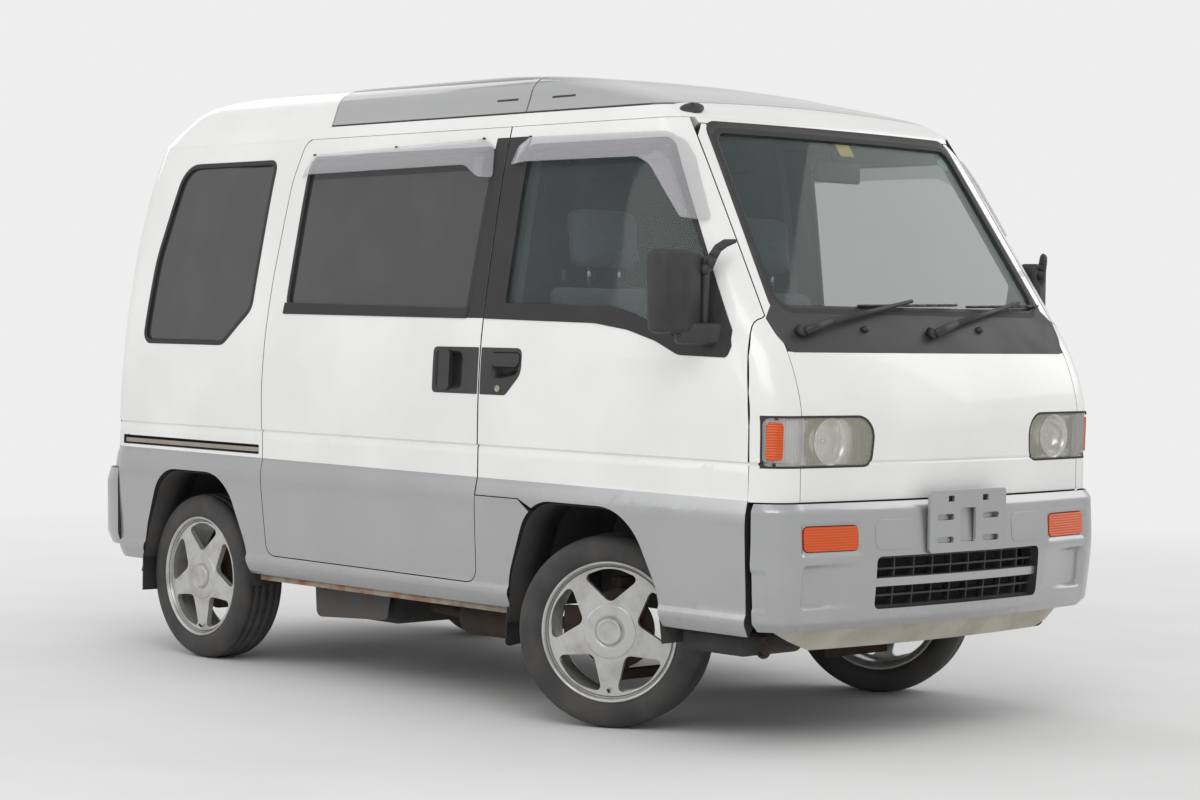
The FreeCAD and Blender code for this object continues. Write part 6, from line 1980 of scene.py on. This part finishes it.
@dataclass
class Studio:
    """Floor, lights and camera."""

    camera_at: Vector = Vector((-5.65406, -6.24258, 1.11068))
    azimuth: float = -43.01
    elevation: float = 1.64
    roll: float = 0.91
    lens: float = 80.43
    backdrop: tuple[float, float, float, float] = (0.86, 0.86, 0.86, 1)
    light: tuple[float, float, float, float] = (0.72, 0.72, 0.722, 1)
    fade: Point = (2.6, 7.5)
    lamp_size: float = 4
    aim_at: Vector = Vector((0, 0, 0.9))

    def aim(self) -> Matrix:
        """Turn of the camera."""
        az = math.radians(self.azimuth)
        el = math.radians(self.elevation)
        roll = math.radians(self.roll)
        back = Vector((math.sin(az) * math.cos(el), -math.cos(az) * math.cos(el), math.sin(el)))
        right = Vector((math.cos(az), math.sin(az), 0))
        up = back.cross(right)
        level = right * math.cos(roll) + up * math.sin(roll)
        tall = up * math.cos(roll) - right * math.sin(roll)
        return Matrix((level, tall, back)).transposed()

    def lamp(self, name: str, at: Row, power: float) -> None:
        """A soft square lamp aimed at the van's middle."""
        data = bpy.data.lights.new(name, "AREA")
        data.size = self.lamp_size
        data.energy = power
        lamp = bpy.data.objects.new(name, data)
        lamp.location = at
        lamp.rotation_euler = (self.aim_at - Vector(at)).to_track_quat("-Z", "Y").to_euler()
        bpy.context.scene.collection.objects.link(lamp)

    def camera(self) -> None:
        """The camera that took the photograph."""
        camera = bpy.data.cameras.new("camera")
        camera.lens = self.lens
        camera.sensor_width = 36
        camera.sensor_fit = "HORIZONTAL"
        camera.clip_end = 200
        view = bpy.data.objects.new("camera", camera)
        view.matrix_world = Matrix.Translation(self.camera_at) @ self.aim().to_4x4()
        bpy.context.scene.collection.objects.link(view)
        bpy.context.scene.camera = view

    def floor(self) -> None:
        """Pale floor that fades into the backdrop far from the van."""
        bm = bmesh.new()
        bmesh.ops.create_grid(bm, x_segments=1, y_segments=1, size=30)
        mesh = bpy.data.meshes.new("floor")
        bm.to_mesh(mesh)
        bm.free()
        floor = bpy.data.objects.new("floor", mesh)
        bpy.context.scene.collection.objects.link(floor)
        n = Nodes("floor_paper")
        n.link(n.mix(n.noise(1.5, 3), (0.76, 0.76, 0.755), (0.79, 0.79, 0.785)),
               n.shader.inputs["Base Color"])
        n.set(Roughness=0.9)
        reach = n.add("ShaderNodeVectorMath", operation="LENGTH")
        n.link(n.coordinates, reach.inputs[0])
        far = n.spread(reach.outputs["Value"], *self.fade, 0, 1)
        path = n.add("ShaderNodeLightPath")
        glow = n.add("ShaderNodeEmission")
        glow.inputs["Color"].default_value = self.backdrop
        blend = n.add("ShaderNodeMixShader")
        n.link(n.times(far, path.outputs["Is Camera Ray"]), blend.inputs[0])
        n.link(n.shader.outputs[0], blend.inputs[1])
        n.link(glow.outputs[0], blend.inputs[2])
        n.link(blend.outputs[0], n.tree.nodes["Material Output"].inputs["Surface"])
        mesh.materials.append(n.material)

    def world(self) -> None:
        """Even light from all round, with the backdrop where the camera looks past the floor."""
        world = bpy.data.worlds.new("studio")
        world.use_nodes = True
        nodes = world.node_tree.nodes
        links = world.node_tree.links
        background = nodes["Background"]
        background.inputs["Strength"].default_value = 1
        path = nodes.new("ShaderNodeLightPath")
        either = nodes.new("ShaderNodeMath")
        either.operation = "MAXIMUM"
        mixed = nodes.new("ShaderNodeMix")
        mixed.data_type = "RGBA"
        mixed.inputs[6].default_value = self.light
        mixed.inputs[7].default_value = self.backdrop
        links.new(path.outputs["Is Camera Ray"], either.inputs[0])
        links.new(path.outputs["Is Transmission Ray"], either.inputs[1])
        links.new(either.outputs[0], mixed.inputs[0])
        links.new(mixed.outputs[2], background.inputs["Color"])
        bpy.context.scene.world = world

    def build(self) -> None:
        """Set up the studio."""
        bpy.context.scene.view_settings.view_transform = "Standard"
        self.camera()
        self.floor()
        self.world()
        for name, at, power in (("key", (-4.5, -5, 5.5), 130), ("fill", (5, -3, 4), 60),
                                ("side", (-6, 2.5, 3.5), 60), ("rear", (1, 6, 4.5), 60)):
            self.lamp(name, at, power)


def main() -> None:
    """Build the van, one sub-assembly after another."""
    logging.basicConfig(level=logging.INFO, format="%(message)s")
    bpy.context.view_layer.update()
    finish = Finishes()
    shell = BodyShell()
    wheels = [Wheel(end + "_" + side.word, side, axle_y, steer)
              for end, axle_y, steer in (("front", -863, 30), ("rear", 1022, 0)) for side in Side]
    for part in (shell, Glass(shell), RoofTop(), Nose(shell), Tail(), *wheels, SideTrim(), Visors(),
                 DoorMirror(), ScreenTrim(), RoofTrim(), GateTrim(), Interior(), Underside(), CadNodes()):
        part.build(finish)
    Studio().build()


if __name__ == "__main__":
    main()
